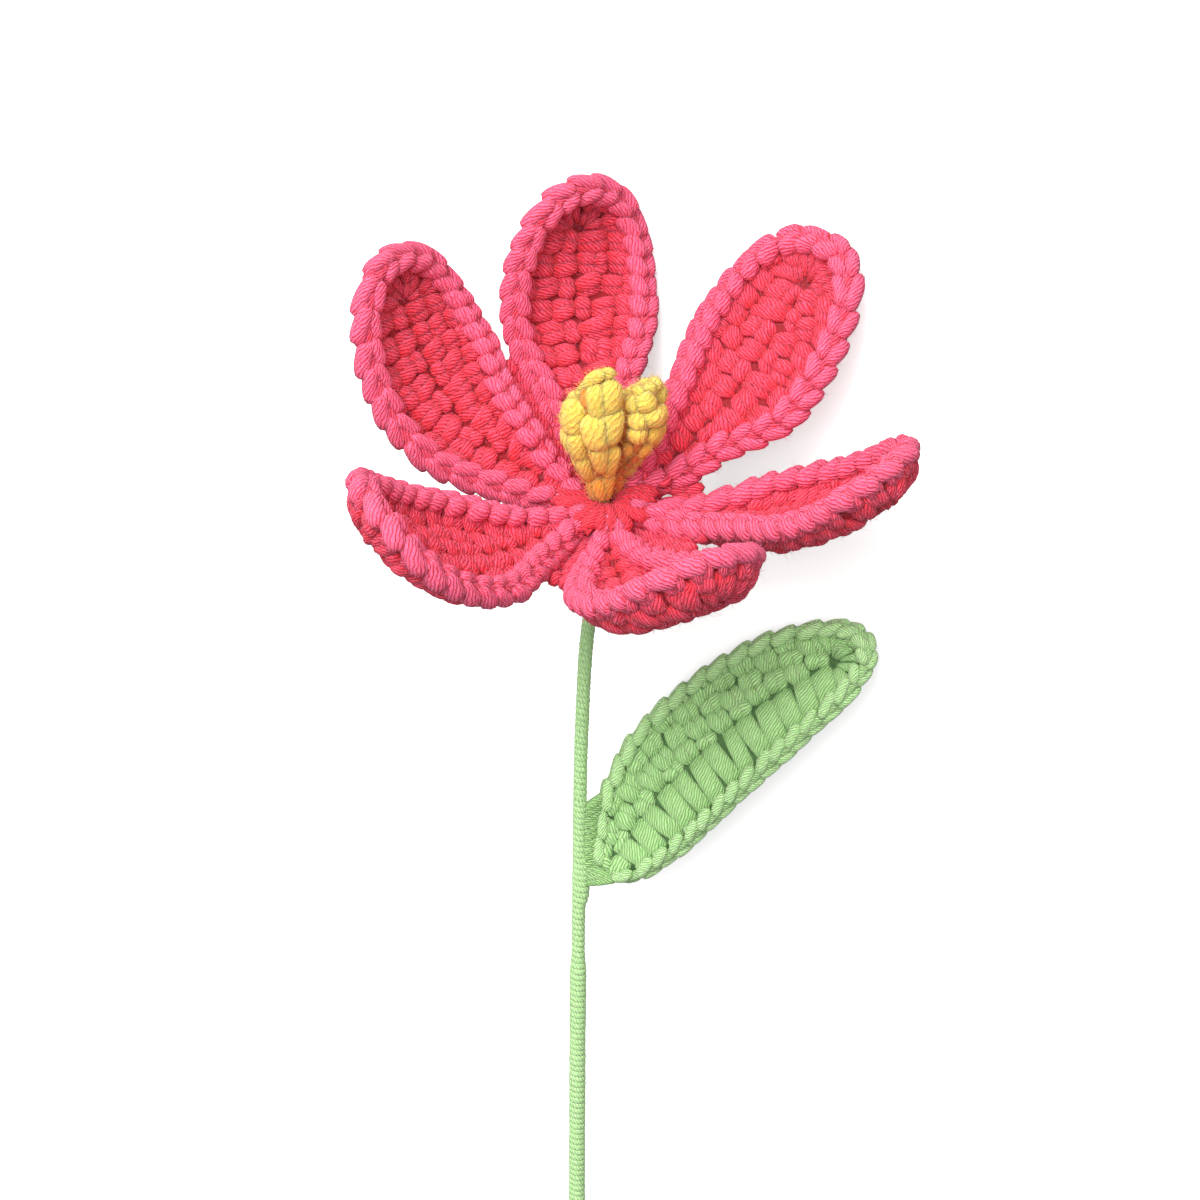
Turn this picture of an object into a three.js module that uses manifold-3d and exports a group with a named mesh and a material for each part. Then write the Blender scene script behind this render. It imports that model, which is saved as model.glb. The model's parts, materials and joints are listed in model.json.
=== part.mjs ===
// A crocheted flower with six wired petals and a leaf, on a wire stem wound with yarn.
// Lengths are millimetres and angles are degrees. It is shaped upright, with the middle of the
// flower at the origin, the stem going down -Z and the front facing -Y. Then it is laid down.
import * as THREE from 'three';
import { mergeVertices } from 'three/addons/utils/BufferGeometryUtils.js';
import Module from 'manifold-3d';

// Clearances
const clearance = 0.3;
const petalSpacing = 0.35;

// Petal, worked both ways round a foundation chain and then once round the edge over a wire
const petalPattern = {
  length: 77,
  width: 39.6,
  baseWidth: 5.2,
  widestFromBase: 48,
  chainShortOfTip: 14,
  sideStitches: 12,
  tipStitches: 6,
  rimRiseLength: 18,
  reliefRiseLength: 14,
  baseRimShare: 0.35,
  leftFlare: 1.15,
  rightFlare: 1.15,
  tipShape: 2.4,
  yarnShare: 1,
};
const petalStartFromAxis = 5.5;
const sectorHeldTo = 28;
const sectorFreeFrom = 42;

// Leaf, made the same way with more and finer stitches
const leafPattern = {
  length: 91,
  width: 32,
  baseWidth: 5.2,
  widestFromBase: 36,
  chainShortOfTip: 12,
  sideStitches: 14,
  tipStitches: 6,
  rimRiseLength: 6,
  reliefRiseLength: 2.5,
  baseRimShare: 0.35,
  leftFlare: 0.77,
  rightFlare: 0.38,
  tipShape: 2.3,
  yarnShare: 0.85,
};
const leafPose = {
  azimuth: 90,
  lean: 62,
  roll: -60,
  curlStart: -5,
  curlEnd: -9,
  sway: 35.5,
  twist: 21,
  leftWall: 48,
  rightWall: 34,
  rimHeight: 6.5,
};
const leafStartBesideStem = 6.4;
const leafJointDrop = 96;

// Relief of the stitches, either side of the middle of the fabric
const columnRidge = 1.9;
const columnValley = 1.35;
const seamHeight = 1.1;
const rimFootInset = 4.6;
const rimFootHeight = 1.25;
const ropeSideInset = 2.4;
const ropeRidge = 2.9;
const ropeValley = 2.45;
const ropeTopHeight = 1.7;
const ropeCrest = 0.3;
const notchDepth = 3;
const baseNotchDepth = 1.5;
const baseInsetShare = 0.55;
const baseReliefShare = 0.68;

// Rim wires, lying in the notch between the two ropes of the rim
const rimWireRadius = 0.25;
const wireSides = 5;
const rimWireInset = 1.45;
const baseWireInset = 0.22;
const tailRingRadius = 2.3;
const tailSpread = 15;
const tailLead = 0.7;
const tailSteps = 8;
const tailEndGap = 0.6;
const tailEntryRise = 0.7;
const firstTailAzimuth = -69;

// Stem
const stemWireRadius = 1;
const stemWireTop = 0;
const wrapThickness = 0.45;
const lowerWrapThickness = 0.85;
const wrapStepDrop = 118;
const wrapStepLength = 6;
const wrapEndThickness = 0.8;
const neckTopDrop = 3.4;
const neckLength = 12;
const neckWall = 0.9;
const neckTaper = 8;
const boreStep = 5;
const headTilt = 22;
const restRoll = 22;
const stemDrop = 232;
const leafTailLength = 7;
const leafTailSpread = 20;
const leafTailWall = 0.4;
const leafTailClear = 0.1;
const leafTailRamp = 4;
const channelSides = 8;

// Stamen, a crocheted strip rolled into a loose scroll
const stamenFootHeight = 1.3;
const stamenFootShare = 0.34;
const stamenOpenHeight = 20;
const stamenThickness = 3.2;
const stamenLean = 12;
const stamenLump = 0.45;
const stamenStitches = 10;
const stamenRows = 6;
const stamenCrown = 0.9;
const stamenFreeFrom = 0.7;
const stamenFreeShare = 0.42;

const degrees = Math.PI / 180;
const fullTurn = 2 * Math.PI;
const upward = new THREE.Vector3(0, 0, 1);

// How each petal was bent by hand: the way it points, how it curls up and sways along its length,
// and how steeply the rim stands on either side
const petalPoses = [
  { azimuth: -71, lean: 7, curlStart: 56, curlEnd: 53, sway: 53, roll: 37, twist: -42 },
  { azimuth: -8, lean: 13, curlStart: 71, curlEnd: 49, sway: 12, roll: 26, twist: -63 },
  { azimuth: 58, lean: 13, curlStart: 81, curlEnd: -41, sway: -28, roll: -28, twist: 28 },
  { azimuth: 103, lean: -14, curlStart: 68, curlEnd: 72, sway: 30, roll: 12, twist: 1 },
  { azimuth: 178, lean: -16, curlStart: 80, curlEnd: 80, sway: -60, roll: -10, twist: 12 },
  { azimuth: 226, lean: -6, curlStart: 61, curlEnd: 73, sway: 23, roll: 12, twist: -1 },
];
const petalWalls = [
  { leftWall: 84, rightWall: 87, rimHeight: 8 },
  { leftWall: 81, rightWall: 83, rimHeight: 10.5 },
  { leftWall: 83, rightWall: 79, rimHeight: 9.5 },
  { leftWall: 96, rightWall: 97, rimHeight: 12 },
  { leftWall: 93, rightWall: 95, rimHeight: 13 },
  { leftWall: 83, rightWall: 88, rimHeight: 10.5 },
];

const pink = { color: 0xe84464, roughness: 0.95, metalness: 0 };
const green = { color: 0xa6d383, roughness: 0.95, metalness: 0 };
const yellow = { color: 0xfbd44b, roughness: 0.95, metalness: 0 };
const steel = { color: 0xb4b6ba, roughness: 0.35, metalness: 1 };

function mix(a, b, share) {
  return a + (b - a) * share;
}

function limit(value, low, high) {
  return Math.min(high, Math.max(low, value));
}

function ease(value) {
  const share = limit(value, 0, 1);
  return share * share * (3 - 2 * share);
}

function turnTogether(first, second, angle) {
  const kept = first.clone();
  first.multiplyScalar(Math.cos(angle)).addScaledVector(second, Math.sin(angle));
  second.multiplyScalar(Math.cos(angle)).addScaledVector(kept, -Math.sin(angle));
}

// The bent middle line of a petal or leaf, with the ways along it, across it and off its face
function bendSpine(pose, length, start) {
  const steps = 32;
  const azimuth = pose.azimuth * degrees;
  const lean = pose.lean * degrees;
  const outward = new THREE.Vector3(Math.sin(azimuth), Math.cos(azimuth), 0);
  const along = outward.clone().multiplyScalar(Math.cos(lean)).addScaledVector(upward, Math.sin(lean));
  const face = outward.clone().multiplyScalar(-Math.sin(lean)).addScaledVector(upward, Math.cos(lean));
  const across = along.clone().cross(face);
  turnTogether(across, face, pose.roll * degrees);
  const place = start.clone();
  const stations = [];
  for (let step = 0; step <= steps; step += 1) {
    stations.push({
      place: place.clone(),
      along: along.clone(),
      across: across.clone(),
      face: face.clone(),
    });
    const share = (step + 0.5) / steps;
    const curl = mix(pose.curlStart, pose.curlEnd, share);
    turnTogether(along, face, (curl / steps) * degrees);
    turnTogether(along, across, (pose.sway / steps) * degrees);
    turnTogether(across, face, (pose.twist / steps) * degrees);
    place.addScaledVector(along, length / steps);
  }
  return stations;
}

// Keeps a petal between its neighbours close to the flower's axis, where the six crowd together
function holdInSector(point, sector, spare) {
  const radius = Math.hypot(point.x, point.y);
  const hold = 1 - ease((radius - sectorHeldTo) / (sectorFreeFrom - sectorHeldTo));
  if (hold === 0 || radius === 0) {
    return;
  }
  const turn = Math.atan2(point.x, point.y) - sector.azimuth;
  const side = Math.atan2(Math.sin(turn), Math.cos(turn));
  const room = (side < 0 ? sector.before : sector.after) - spare / radius;
  const share = Math.abs(side) / room;
  const held = (room * share * Math.sign(side)) / Math.pow(1 + Math.pow(share, 4), 0.25);
  const angle = sector.azimuth + mix(side, held, hold);
  point.x = Math.sin(angle) * radius;
  point.y = Math.cos(angle) * radius;
}

// The fabric of a petal or leaf. A place on it is given by the count of stitches round the edge,
// how far it lies in from the edge, and how far it stands off the middle of the fabric.
function layFabric(pattern, pose, start, sector) {
  const stations = bendSpine(pose, pattern.length, start);
  const total = 2 * pattern.sideStitches + pattern.tipStitches;
  const chain = pattern.length - pattern.chainShortOfTip;
  const tipLength = pattern.length - pattern.widestFromBase;
  const halfWidth = pattern.width / 2;
  const halfBase = pattern.baseWidth / 2;
  const fanStart = Math.acos(Math.pow((chain - pattern.widestFromBase) / tipLength, pattern.tipShape / 2));

  function edgeOffset(distance, flareShape) {
    if (distance < pattern.widestFromBase) {
      const flare = Math.sin((distance / pattern.widestFromBase) * (Math.PI / 2));
      return mix(halfBase, halfWidth, Math.pow(flare, flareShape));
    }
    const beyond = (distance - pattern.widestFromBase) / tipLength;
    return halfWidth * Math.pow(1 - Math.pow(beyond, pattern.tipShape), 1 / pattern.tipShape);
  }

  function column(count) {
    const fromBase = Math.min(count, total - count);
    const foot = (Math.min(fromBase, pattern.sideStitches) / pattern.sideStitches) * chain;
    const side = count < total / 2 ? -1 : 1;
    let edgeAlong = foot;
    let edgeAcross = side * edgeOffset(foot, side < 0 ? pattern.leftFlare : pattern.rightFlare);
    if (fromBase > pattern.sideStitches) {
      const share = (count - pattern.sideStitches) / pattern.tipStitches;
      const angle = mix(-fanStart, fanStart, share);
      const power = 2 / pattern.tipShape;
      edgeAlong = pattern.widestFromBase + tipLength * Math.pow(Math.cos(angle), power);
      edgeAcross = halfWidth * Math.sign(angle) * Math.pow(Math.abs(Math.sin(angle)), power);
    }
    const reach = Math.hypot(edgeAlong - foot, edgeAcross);
    const growth = limit(foot / pattern.reliefRiseLength, 0, 1);
    return {
      foot,
      reach,
      along: (edgeAlong - foot) / reach,
      across: edgeAcross / reach,
      fromBase,
      relief: mix(baseReliefShare, 1, growth) * pattern.yarnShare,
      insets: mix(baseInsetShare, 1, growth) * pattern.yarnShare,
      notch: mix(baseNotchDepth, notchDepth * Math.sqrt(pattern.yarnShare), growth),
      wire: mix(baseWireInset, rimWireInset * Math.sqrt(pattern.yarnShare), growth),
    };
  }

  function place(count, inset, lift) {
    const ray = column(count);
    const rimHeight = Math.min(pose.rimHeight, 0.7 * ray.reach);
    const wallShare = limit((count / total - 0.42) / 0.16, 0, 1);
    const rise = limit(((ray.fromBase / pattern.sideStitches) * chain) / pattern.rimRiseLength, 0, 1);
    const wall = mix(pose.leftWall, pose.rightWall, wallShare) * mix(pattern.baseRimShare, 1, rise) * degrees;
    const bendRadius = rimHeight / wall;
    const bendAt = (depth) => Math.max(0, (rimHeight - depth) / rimHeight) * wall;
    const ropeInset = Math.max(ropeSideInset * ray.insets, ray.notch);
    const ropeBend = bendAt(ropeInset / 2);
    const heldInset = Math.max(inset, ropeInset);
    const bend = bendAt(heldInset);
    const outward = ray.reach - Math.max(heldInset, rimHeight) + bendRadius * Math.sin(bend);
    const height = bendRadius * (1 - Math.cos(bend));
    const last = stations.length - 1;
    const position = ((ray.foot + ray.along * outward) / pattern.length) * last;
    const index = limit(Math.floor(position), 0, last - 1);
    const share = position - index;
    const from = stations[index];
    const to = stations[index + 1];
    const across = from.across.clone().lerp(to.across, share);
    const face = from.face.clone().lerp(to.face, share);
    const point = from.place.clone().lerp(to.place, share);
    point.addScaledVector(across, ray.across * outward).addScaledVector(face, height);
    if (sector) {
      const beside = ropeRidge * ray.relief * Math.sin(ropeBend) + (ropeInset + ropeCrest) * Math.cos(ropeBend);
      holdInSector(point, sector, petalSpacing + beside * limit(outward / (ray.reach - ropeInset), 0, 1));
    }
    const slope = inset > ropeInset ? bend : ropeBend;
    const further = heldInset - inset;
    const out = further * Math.cos(slope) - lift * Math.sin(slope);
    const off = further * Math.sin(slope) + lift * Math.cos(slope);
    point.addScaledVector(across, out * ray.across).addScaledVector(face, off);
    return point.addScaledVector(from.along, out * ray.along);
  }

  return { total, pattern, stations, column, place };
}

// One slice through the fabric from the seam over its top, round the two ropes of the rim and back
function stitchSection(fabric, count, onRidge) {
  const ray = fabric.column(count);
  const foot = Math.min(rimFootInset * ray.insets, 0.9 * ray.reach);
  const half = [
    [ray.reach, seamHeight * ray.relief],
    [(ray.reach + foot) / 2, (onRidge ? columnRidge : columnValley) * ray.relief],
    [foot, rimFootHeight * ray.relief],
    [ropeSideInset * ray.insets, (onRidge ? ropeRidge : ropeValley) * ray.relief],
    [onRidge ? -ropeCrest : ropeCrest, ropeTopHeight * ray.relief],
  ];
  const section = half.map(([inset, height]) => fabric.place(count, inset, height));
  section.push(fabric.place(count, ray.notch, 0));
  half.reverse().forEach(([inset, height]) => section.push(fabric.place(count, inset, -height)));
  return section;
}

// Joins points into one closed body, dropping the triangles that a shared point flattens
function closeBody(points, triangles) {
  const geometry = new THREE.BufferGeometry();
  geometry.setAttribute('position', new THREE.Float32BufferAttribute(points.flatMap((p) => p.toArray()), 3));
  geometry.setIndex(triangles.flat());
  const merged = mergeVertices(geometry, 1e-4);
  const index = merged.getIndex().array;
  const kept = [];
  for (let at = 0; at < index.length; at += 3) {
    const [a, b, c] = index.subarray(at, at + 3);
    if (a !== b && b !== c && c !== a) {
      kept.push(a, b, c);
    }
  }
  if (bodyMoments(merged.getAttribute('position'), kept).volume < 0) {
    kept.reverse();
  }
  merged.setIndex(kept);
  merged.computeVertexNormals();
  return merged;
}

// Volume of a closed body, and its first moment for finding where it balances
function bodyMoments(position, index) {
  const a = new THREE.Vector3();
  const b = new THREE.Vector3();
  const c = new THREE.Vector3();
  const moment = new THREE.Vector3();
  let volume = 0;
  for (let at = 0; at < index.length; at += 3) {
    a.fromBufferAttribute(position, index[at]);
    b.fromBufferAttribute(position, index[at + 1]);
    c.fromBufferAttribute(position, index[at + 2]);
    const part = a.dot(b.clone().cross(c)) / 6;
    volume += part;
    moment.addScaledVector(a.clone().add(b).add(c), part / 4);
  }
  return { volume, moment };
}

function stitchGeometry(fabric) {
  const points = [];
  const triangles = [];
  const rows = 11;
  const samples = 2 * fabric.total;
  for (let sample = 0; sample <= samples; sample += 1) {
    points.push(...stitchSection(fabric, sample / 2, sample % 2 === 1));
  }
  for (let sample = 0; sample < samples; sample += 1) {
    for (let row = 0; row < rows - 1; row += 1) {
      const here = sample * rows + row;
      const next = here + rows;
      triangles.push([here, next, here + 1], [here + 1, next, next + 1]);
    }
  }
  [0, samples * rows].forEach((first, end) => {
    const cut = [
      [0, 1, 9], [0, 9, 10], [1, 2, 8], [1, 8, 9], [2, 3, 7], [2, 7, 8], [3, 5, 7], [3, 4, 5], [5, 6, 7],
    ];
    cut.forEach(([a, b, c]) => {
      triangles.push(end ? [first + a, first + c, first + b] : [first + a, first + b, first + c]);
    });
  });
  return closeBody(points, triangles);
}

// Joins rings of points into triangles, leaving out the step after any sealed ring
function joinRings(count, sides, sealed) {
  const triangles = [];
  for (let ring = 0; ring < count - 1; ring += 1) {
    for (let side = 0; side < sides && ring !== sealed; side += 1) {
      const here = ring * sides + side;
      const beside = ring * sides + ((side + 1) % sides);
      triangles.push([here, beside, here + sides], [beside, beside + sides, here + sides]);
    }
  }
  return triangles;
}

function coverRing(ring, sides, atStart) {
  const first = ring * sides;
  const triangles = [];
  for (let side = 1; side < sides - 1; side += 1) {
    const pair = atStart ? [first + side + 1, first + side] : [first + side, first + side + 1];
    triangles.push([first, ...pair]);
  }
  return triangles;
}

function tubeGeometry(rings) {
  const sides = rings[0].length;
  const last = rings.length - 1;
  const ends = [...coverRing(0, sides, true), ...coverRing(last, sides, false)];
  return closeBody(rings.flat(), [...joinRings(rings.length, sides), ...ends]);
}

// A round wire bent through a run of points
function wireGeometry(route, radius, sides) {
  const side = new THREE.Vector3(1, 0, 0);
  const rings = route.map((place, index) => {
    const before = route[Math.max(index - 1, 0)];
    const after = route[Math.min(index + 1, route.length - 1)];
    const along = after.clone().sub(before).normalize();
    side.addScaledVector(along, -side.dot(along)).normalize();
    const other = along.clone().cross(side);
    return Array.from({ length: sides }, (_, corner) => {
      const angle = (corner / sides) * fullTurn;
      const point = place.clone().addScaledVector(side, Math.cos(angle) * radius);
      return point.addScaledVector(other, Math.sin(angle) * radius);
    });
  });
  return tubeGeometry(rings);
}

function smoothTail(points) {
  return new THREE.CatmullRomCurve3(points, false, 'centripetal').getPoints(tailSteps);
}

// The line that a rim wire follows in its notch, from one end of the rim round to the other
function notchRoute(fabric) {
  const route = [];
  for (let sample = 0; sample <= 2 * fabric.total; sample += 1) {
    route.push(fabric.place(sample / 2, fabric.column(sample / 2).wire, 0));
  }
  return route;
}

// Petals
const flowerSpin = petalPoses.map((pose) => pose.azimuth * degrees);
const petalFabrics = petalPoses.map((pose, index) => {
  const azimuth = flowerSpin[index];
  const previous = flowerSpin.at(index - 1);
  const next = flowerSpin[(index + 1) % petalPoses.length];
  const sector = {
    azimuth,
    before: ((azimuth - previous + fullTurn) % fullTurn) / 2,
    after: ((next - azimuth + fullTurn) % fullTurn) / 2,
  };
  const start = new THREE.Vector3(Math.sin(azimuth), Math.cos(azimuth), 0).multiplyScalar(petalStartFromAxis);
  return layFabric(petalPattern, { ...pose, ...petalWalls[index] }, start, sector);
});

// A petal wire leaves both ends of its rim and dives into the neck beside the stem wire
const neckBottomDrop = neckTopDrop + neckLength;
function petalWireRoute(fabric, slot) {
  const route = notchRoute(fabric);
  const tail = (side, rimEnd) => {
    const angle = (firstTailAzimuth + side * tailSpread) * degrees + (slot / petalPoses.length) * fullTurn;
    const ring = new THREE.Vector3(Math.sin(angle), Math.cos(angle), 0).multiplyScalar(tailRingRadius);
    const leaving = rimEnd.clone().addScaledVector(fabric.stations[0].along, -tailLead);
    const drops = [neckTopDrop - tailEntryRise, neckTopDrop + neckLength / 2, neckBottomDrop - tailEndGap];
    return smoothTail([leaving, ...drops.map((drop) => ring.clone().addScaledVector(upward, -drop))]);
  };
  return [...tail(-1, route[0]).reverse(), ...route, ...tail(1, route.at(-1))];
}

// Stem: straight through the neck along the flower's axis, then bending to hang straight
const headAxis = new THREE.Vector3(0, -Math.sin(headTilt * degrees), Math.cos(headTilt * degrees));
const neckEnd = headAxis.clone().multiplyScalar(-neckBottomDrop);
const stemRoute = new THREE.CatmullRomCurve3([
  headAxis.clone().multiplyScalar(-stemWireTop),
  neckEnd.clone().multiplyScalar(0.5),
  neckEnd,
  new THREE.Vector3(-3.7, 8.7, -32),
  new THREE.Vector3(-5.5, 9.4, -60),
  new THREE.Vector3(-6.2, 9.3, -leafJointDrop),
  new THREE.Vector3(-6.9, 9.2, -165),
  new THREE.Vector3(-7.2, 9.2, -stemDrop),
], false, 'centripetal');
const stemLength = stemRoute.getLength();

function stemFrame(distance) {
  const share = limit(distance / stemLength, 0, 1);
  const place = stemRoute.getPointAt(share);
  const along = stemRoute.getTangentAt(share);
  const right = new THREE.Vector3(1, 0, 0).addScaledVector(along, -along.x).normalize();
  const front = right.clone().cross(along);
  return { place, along, right, front };
}

function onStem(distance, angle, radius) {
  const frame = stemFrame(distance);
  return frame.place
    .addScaledVector(frame.right, Math.cos(angle) * radius)
    .addScaledVector(frame.front, Math.sin(angle) * radius);
}

// How far down the stem a height below the flower is
function distanceAtDrop(drop) {
  let low = 0;
  let high = 1;
  for (let halving = 0; halving < 30; halving += 1) {
    const middle = (low + high) / 2;
    if (-stemRoute.getPointAt(middle).z < drop) {
      low = middle;
    } else {
      high = middle;
    }
  }
  return low * stemLength;
}

const wrapSides = 12;
const flatToCorner = 1 / Math.cos(Math.PI / wrapSides);
const boreRadius = (stemWireRadius + clearance) * flatToCorner;
const neckBore = (tailRingRadius + rimWireRadius + clearance) * flatToCorner;
const leafTailRadius = boreRadius + rimWireRadius + leafTailClear;
const channelRadius = rimWireRadius + clearance;
const leafTailStart = distanceAtDrop(leafJointDrop);
const leafSwell = leafTailRadius + channelRadius + leafTailWall - boreRadius - wrapThickness;

function stemRing(distance, radiusAt) {
  const ring = [];
  for (let side = 0; side < wrapSides; side += 1) {
    const angle = (side / wrapSides) * fullTurn;
    ring.push(onStem(distance, angle, radiusAt(angle)));
  }
  return ring;
}

function wrapRing(distance, outer) {
  const neckShare = 1 - ease((distance - neckBottomDrop) / neckTaper);
  const stepShare = ease((distance - distanceAtDrop(wrapStepDrop)) / wrapStepLength);
  const thickness = mix(wrapThickness, lowerWrapThickness, stepShare);
  const slender = outer ? boreRadius + thickness : boreRadius;
  const wide = outer ? neckBore + neckWall : neckBore;
  const inNeck = outer ? neckShare : Number(distance <= neckBottomDrop);
  const middle = leafTailStart + leafTailLength / 2;
  const along = Math.abs(distance - middle) - leafTailLength / 2;
  const swell = outer ? leafSwell * (1 - ease(along / leafTailRamp)) : 0;
  const radius = mix(slender, wide, inNeck);
  return stemRing(distance, (angle) => radius + swell * Math.pow(Math.max(0, Math.cos(angle)), 1.5));
}

const boreStops = [neckTopDrop, neckBottomDrop, neckBottomDrop + 0.2];
for (let stop = neckBottomDrop + boreStep; stop < leafTailStart; stop += boreStep) {
  boreStops.push(stop);
}
boreStops.push(leafTailStart, leafTailStart + 30, leafTailStart + 75);

function wrapGeometry() {
  const outerStops = [neckTopDrop, 9, neckBottomDrop, neckBottomDrop + 4, neckBottomDrop + neckTaper];
  for (let stop = neckBottomDrop + neckTaper + 6; stop < leafTailStart - 8; stop += 8) {
    outerStops.push(stop);
  }
  for (let share = -0.75; share <= 1.76; share += 0.25) {
    outerStops.push(leafTailStart + share * leafTailLength);
  }
  const step = distanceAtDrop(wrapStepDrop);
  outerStops.push(step, step + wrapStepLength / 2, step + wrapStepLength, step + 30, step + 60, stemLength);
  const innerStops = [...boreStops, stemLength - wrapEndThickness].reverse();
  const rings = outerStops.map((stop) => wrapRing(stop, true));
  rings.push(...innerStops.map((stop) => wrapRing(stop, false)));
  rings.push(rings[0]);
  const seal = outerStops.length - 1;
  const triangles = joinRings(rings.length, wrapSides, seal);
  triangles.push(...coverRing(seal, wrapSides, false), ...coverRing(seal + 1, wrapSides, true));
  return closeBody(rings.flat(), triangles);
}

function stemWireGeometry() {
  const stops = [0, ...boreStops, stemLength - wrapEndThickness - clearance];
  return tubeGeometry(stops.map((stop) => stemRing(stop, () => stemWireRadius)));
}

// Leaf
const jointPlace = onStem(leafTailStart, 0, leafStartBesideStem);
const leafFabric = layFabric(leafPattern, leafPose, jointPlace, null);
function leafTail(side, rimEnd) {
  const angle = side * leafTailSpread * degrees;
  const leaving = rimEnd.clone().addScaledVector(leafFabric.stations[0].along, -tailLead);
  const drops = [leafTailLength * 0.45, leafTailLength * 0.75, leafTailLength];
  return smoothTail([leaving, ...drops.map((drop) => onStem(leafTailStart + drop, angle, leafTailRadius))]);
}
const leafNotch = notchRoute(leafFabric);
const leafTails = [leafTail(1, leafNotch[0]), leafTail(-1, leafNotch.at(-1))];
const leafWireRoute = [...leafTails[0].toReversed(), ...leafNotch, ...leafTails[1]];

// Cuts the ways that the leaf wire's two ends take into the winding
const wasm = await Module();
wasm.setup();
function solidOf(geometry) {
  const bare = new THREE.BufferGeometry();
  bare.setAttribute('position', geometry.getAttribute('position'));
  bare.setIndex(geometry.getIndex());
  const merged = mergeVertices(bare, 1e-4);
  const vertProperties = new Float32Array(merged.getAttribute('position').array);
  const triVerts = new Uint32Array(merged.getIndex().array);
  return new wasm.Manifold(new wasm.Mesh({ numProp: 3, vertProperties, triVerts }));
}

function geometryOf(solid) {
  const mesh = solid.getMesh();
  const geometry = new THREE.BufferGeometry();
  geometry.setAttribute('position', new THREE.Float32BufferAttribute(mesh.vertProperties, 3));
  geometry.setIndex([...mesh.triVerts]);
  geometry.computeVertexNormals();
  return geometry;
}

function channelFor(tail) {
  const beyond = tail.at(-1).clone().lerp(tail.at(-2), -0.4);
  return solidOf(wireGeometry([...tail, beyond], channelRadius, channelSides));
}

let wrapSolid = solidOf(wrapGeometry());
leafTails.forEach((tail) => {
  wrapSolid = wrapSolid.subtract(channelFor(tail));
});

// Stamen
const stamenCoil = new THREE.SplineCurve([
  new THREE.Vector2(3, -4.6),
  new THREE.Vector2(-2.6, -6),
  new THREE.Vector2(-7, -3),
  new THREE.Vector2(-7.2, 2.2),
  new THREE.Vector2(-2.6, 6),
  new THREE.Vector2(3.6, 6.4),
  new THREE.Vector2(9.4, 4.2),
  new THREE.Vector2(12, -0.2),
  new THREE.Vector2(9.5, -4),
  new THREE.Vector2(6.3, -2),
]);
const stamenTop = new THREE.SplineCurve([
  new THREE.Vector2(0, 31),
  new THREE.Vector2(0.16, 30.5),
  new THREE.Vector2(0.32, 26),
  new THREE.Vector2(0.5, 29.5),
  new THREE.Vector2(0.65, 28.5),
  new THREE.Vector2(0.82, 27.5),
  new THREE.Vector2(1, 24),
]);

function stamenGeometry() {
  const acrossSamples = 2 * stamenStitches;
  const upSamples = 2 * stamenRows;
  const points = [];
  const triangles = [];
  const rows = 2 * (upSamples + 1) + 1;
  for (let sample = 0; sample <= acrossSamples; sample += 1) {
    const share = sample / acrossSamples;
    const place = stamenCoil.getPointAt(share);
    const tangent = stamenCoil.getTangentAt(share);
    const top = stamenTop.getPoint(share).y;
    const bottom = top * stamenFreeShare * ease((share - stamenFreeFrom) / 0.15);
    const wallPoint = (height, offset) => {
      const spread = mix(stamenFootShare, 1, ease(height / stamenOpenHeight));
      const x = place.x * spread - tangent.y * offset * spread;
      const y = place.y * spread + tangent.x * offset * spread;
      return new THREE.Vector3(x, y, height);
    };
    const sides = [-1, 1].map((side) => {
      const wall = [];
      for (let up = 0; up <= upSamples; up += 1) {
        const lump = (sample + up) % 2 ? stamenLump : -stamenLump;
        wall.push(wallPoint(mix(bottom, top, up / upSamples), side * (stamenThickness / 2 + lump)));
      }
      return wall;
    });
    points.push(...sides[0], wallPoint(top + stamenCrown, 0), ...sides[1].reverse());
  }
  for (let sample = 0; sample < acrossSamples; sample += 1) {
    for (let row = 0; row < rows; row += 1) {
      const here = sample * rows + row;
      const above = sample * rows + ((row + 1) % rows);
      triangles.push([here, here + rows, above], [above, here + rows, above + rows]);
    }
  }
  [0, acrossSamples * rows].forEach((first, end) => {
    for (let row = 0; row <= upSamples; row += 1) {
      const a = first + row;
      const b = first + rows - 1 - row;
      const quad = row < upSamples ? [[a, a + 1, b], [a + 1, b - 1, b]] : [[a, a + 1, b]];
      quad.forEach(([p, q, r]) => triangles.push(end ? [p, r, q] : [p, q, r]));
    }
  });
  return closeBody(points, triangles);
}

// The pieces, in the flower's own frame or the stem's
function namedMesh(name, geometry, finish) {
  const mesh = new THREE.Mesh(geometry, new THREE.MeshStandardMaterial(finish));
  mesh.name = name;
  return mesh;
}

const head = new THREE.Group();
head.rotation.x = headTilt * degrees;
petalFabrics.forEach((fabric, index) => {
  head.add(namedMesh(`petal_${index + 1}`, stitchGeometry(fabric), pink));
  const route = petalWireRoute(fabric, index);
  head.add(namedMesh(`petal_wire_${index + 1}`, wireGeometry(route, rimWireRadius, wireSides), steel));
});
const stamen = namedMesh('stamen', stamenGeometry(), yellow);
stamen.position.z = stamenFootHeight;
stamen.rotation.x = -stamenLean * degrees;
head.add(stamen);

const standing = new THREE.Group();
standing.add(head);
standing.add(namedMesh('stem_wire', stemWireGeometry(), steel));
standing.add(namedMesh('stem_wrap', geometryOf(wrapSolid), green));
standing.add(namedMesh('leaf', stitchGeometry(leafFabric), green));
standing.add(namedMesh('leaf_wire', wireGeometry(leafWireRoute, rimWireRadius, wireSides), steel));

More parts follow.
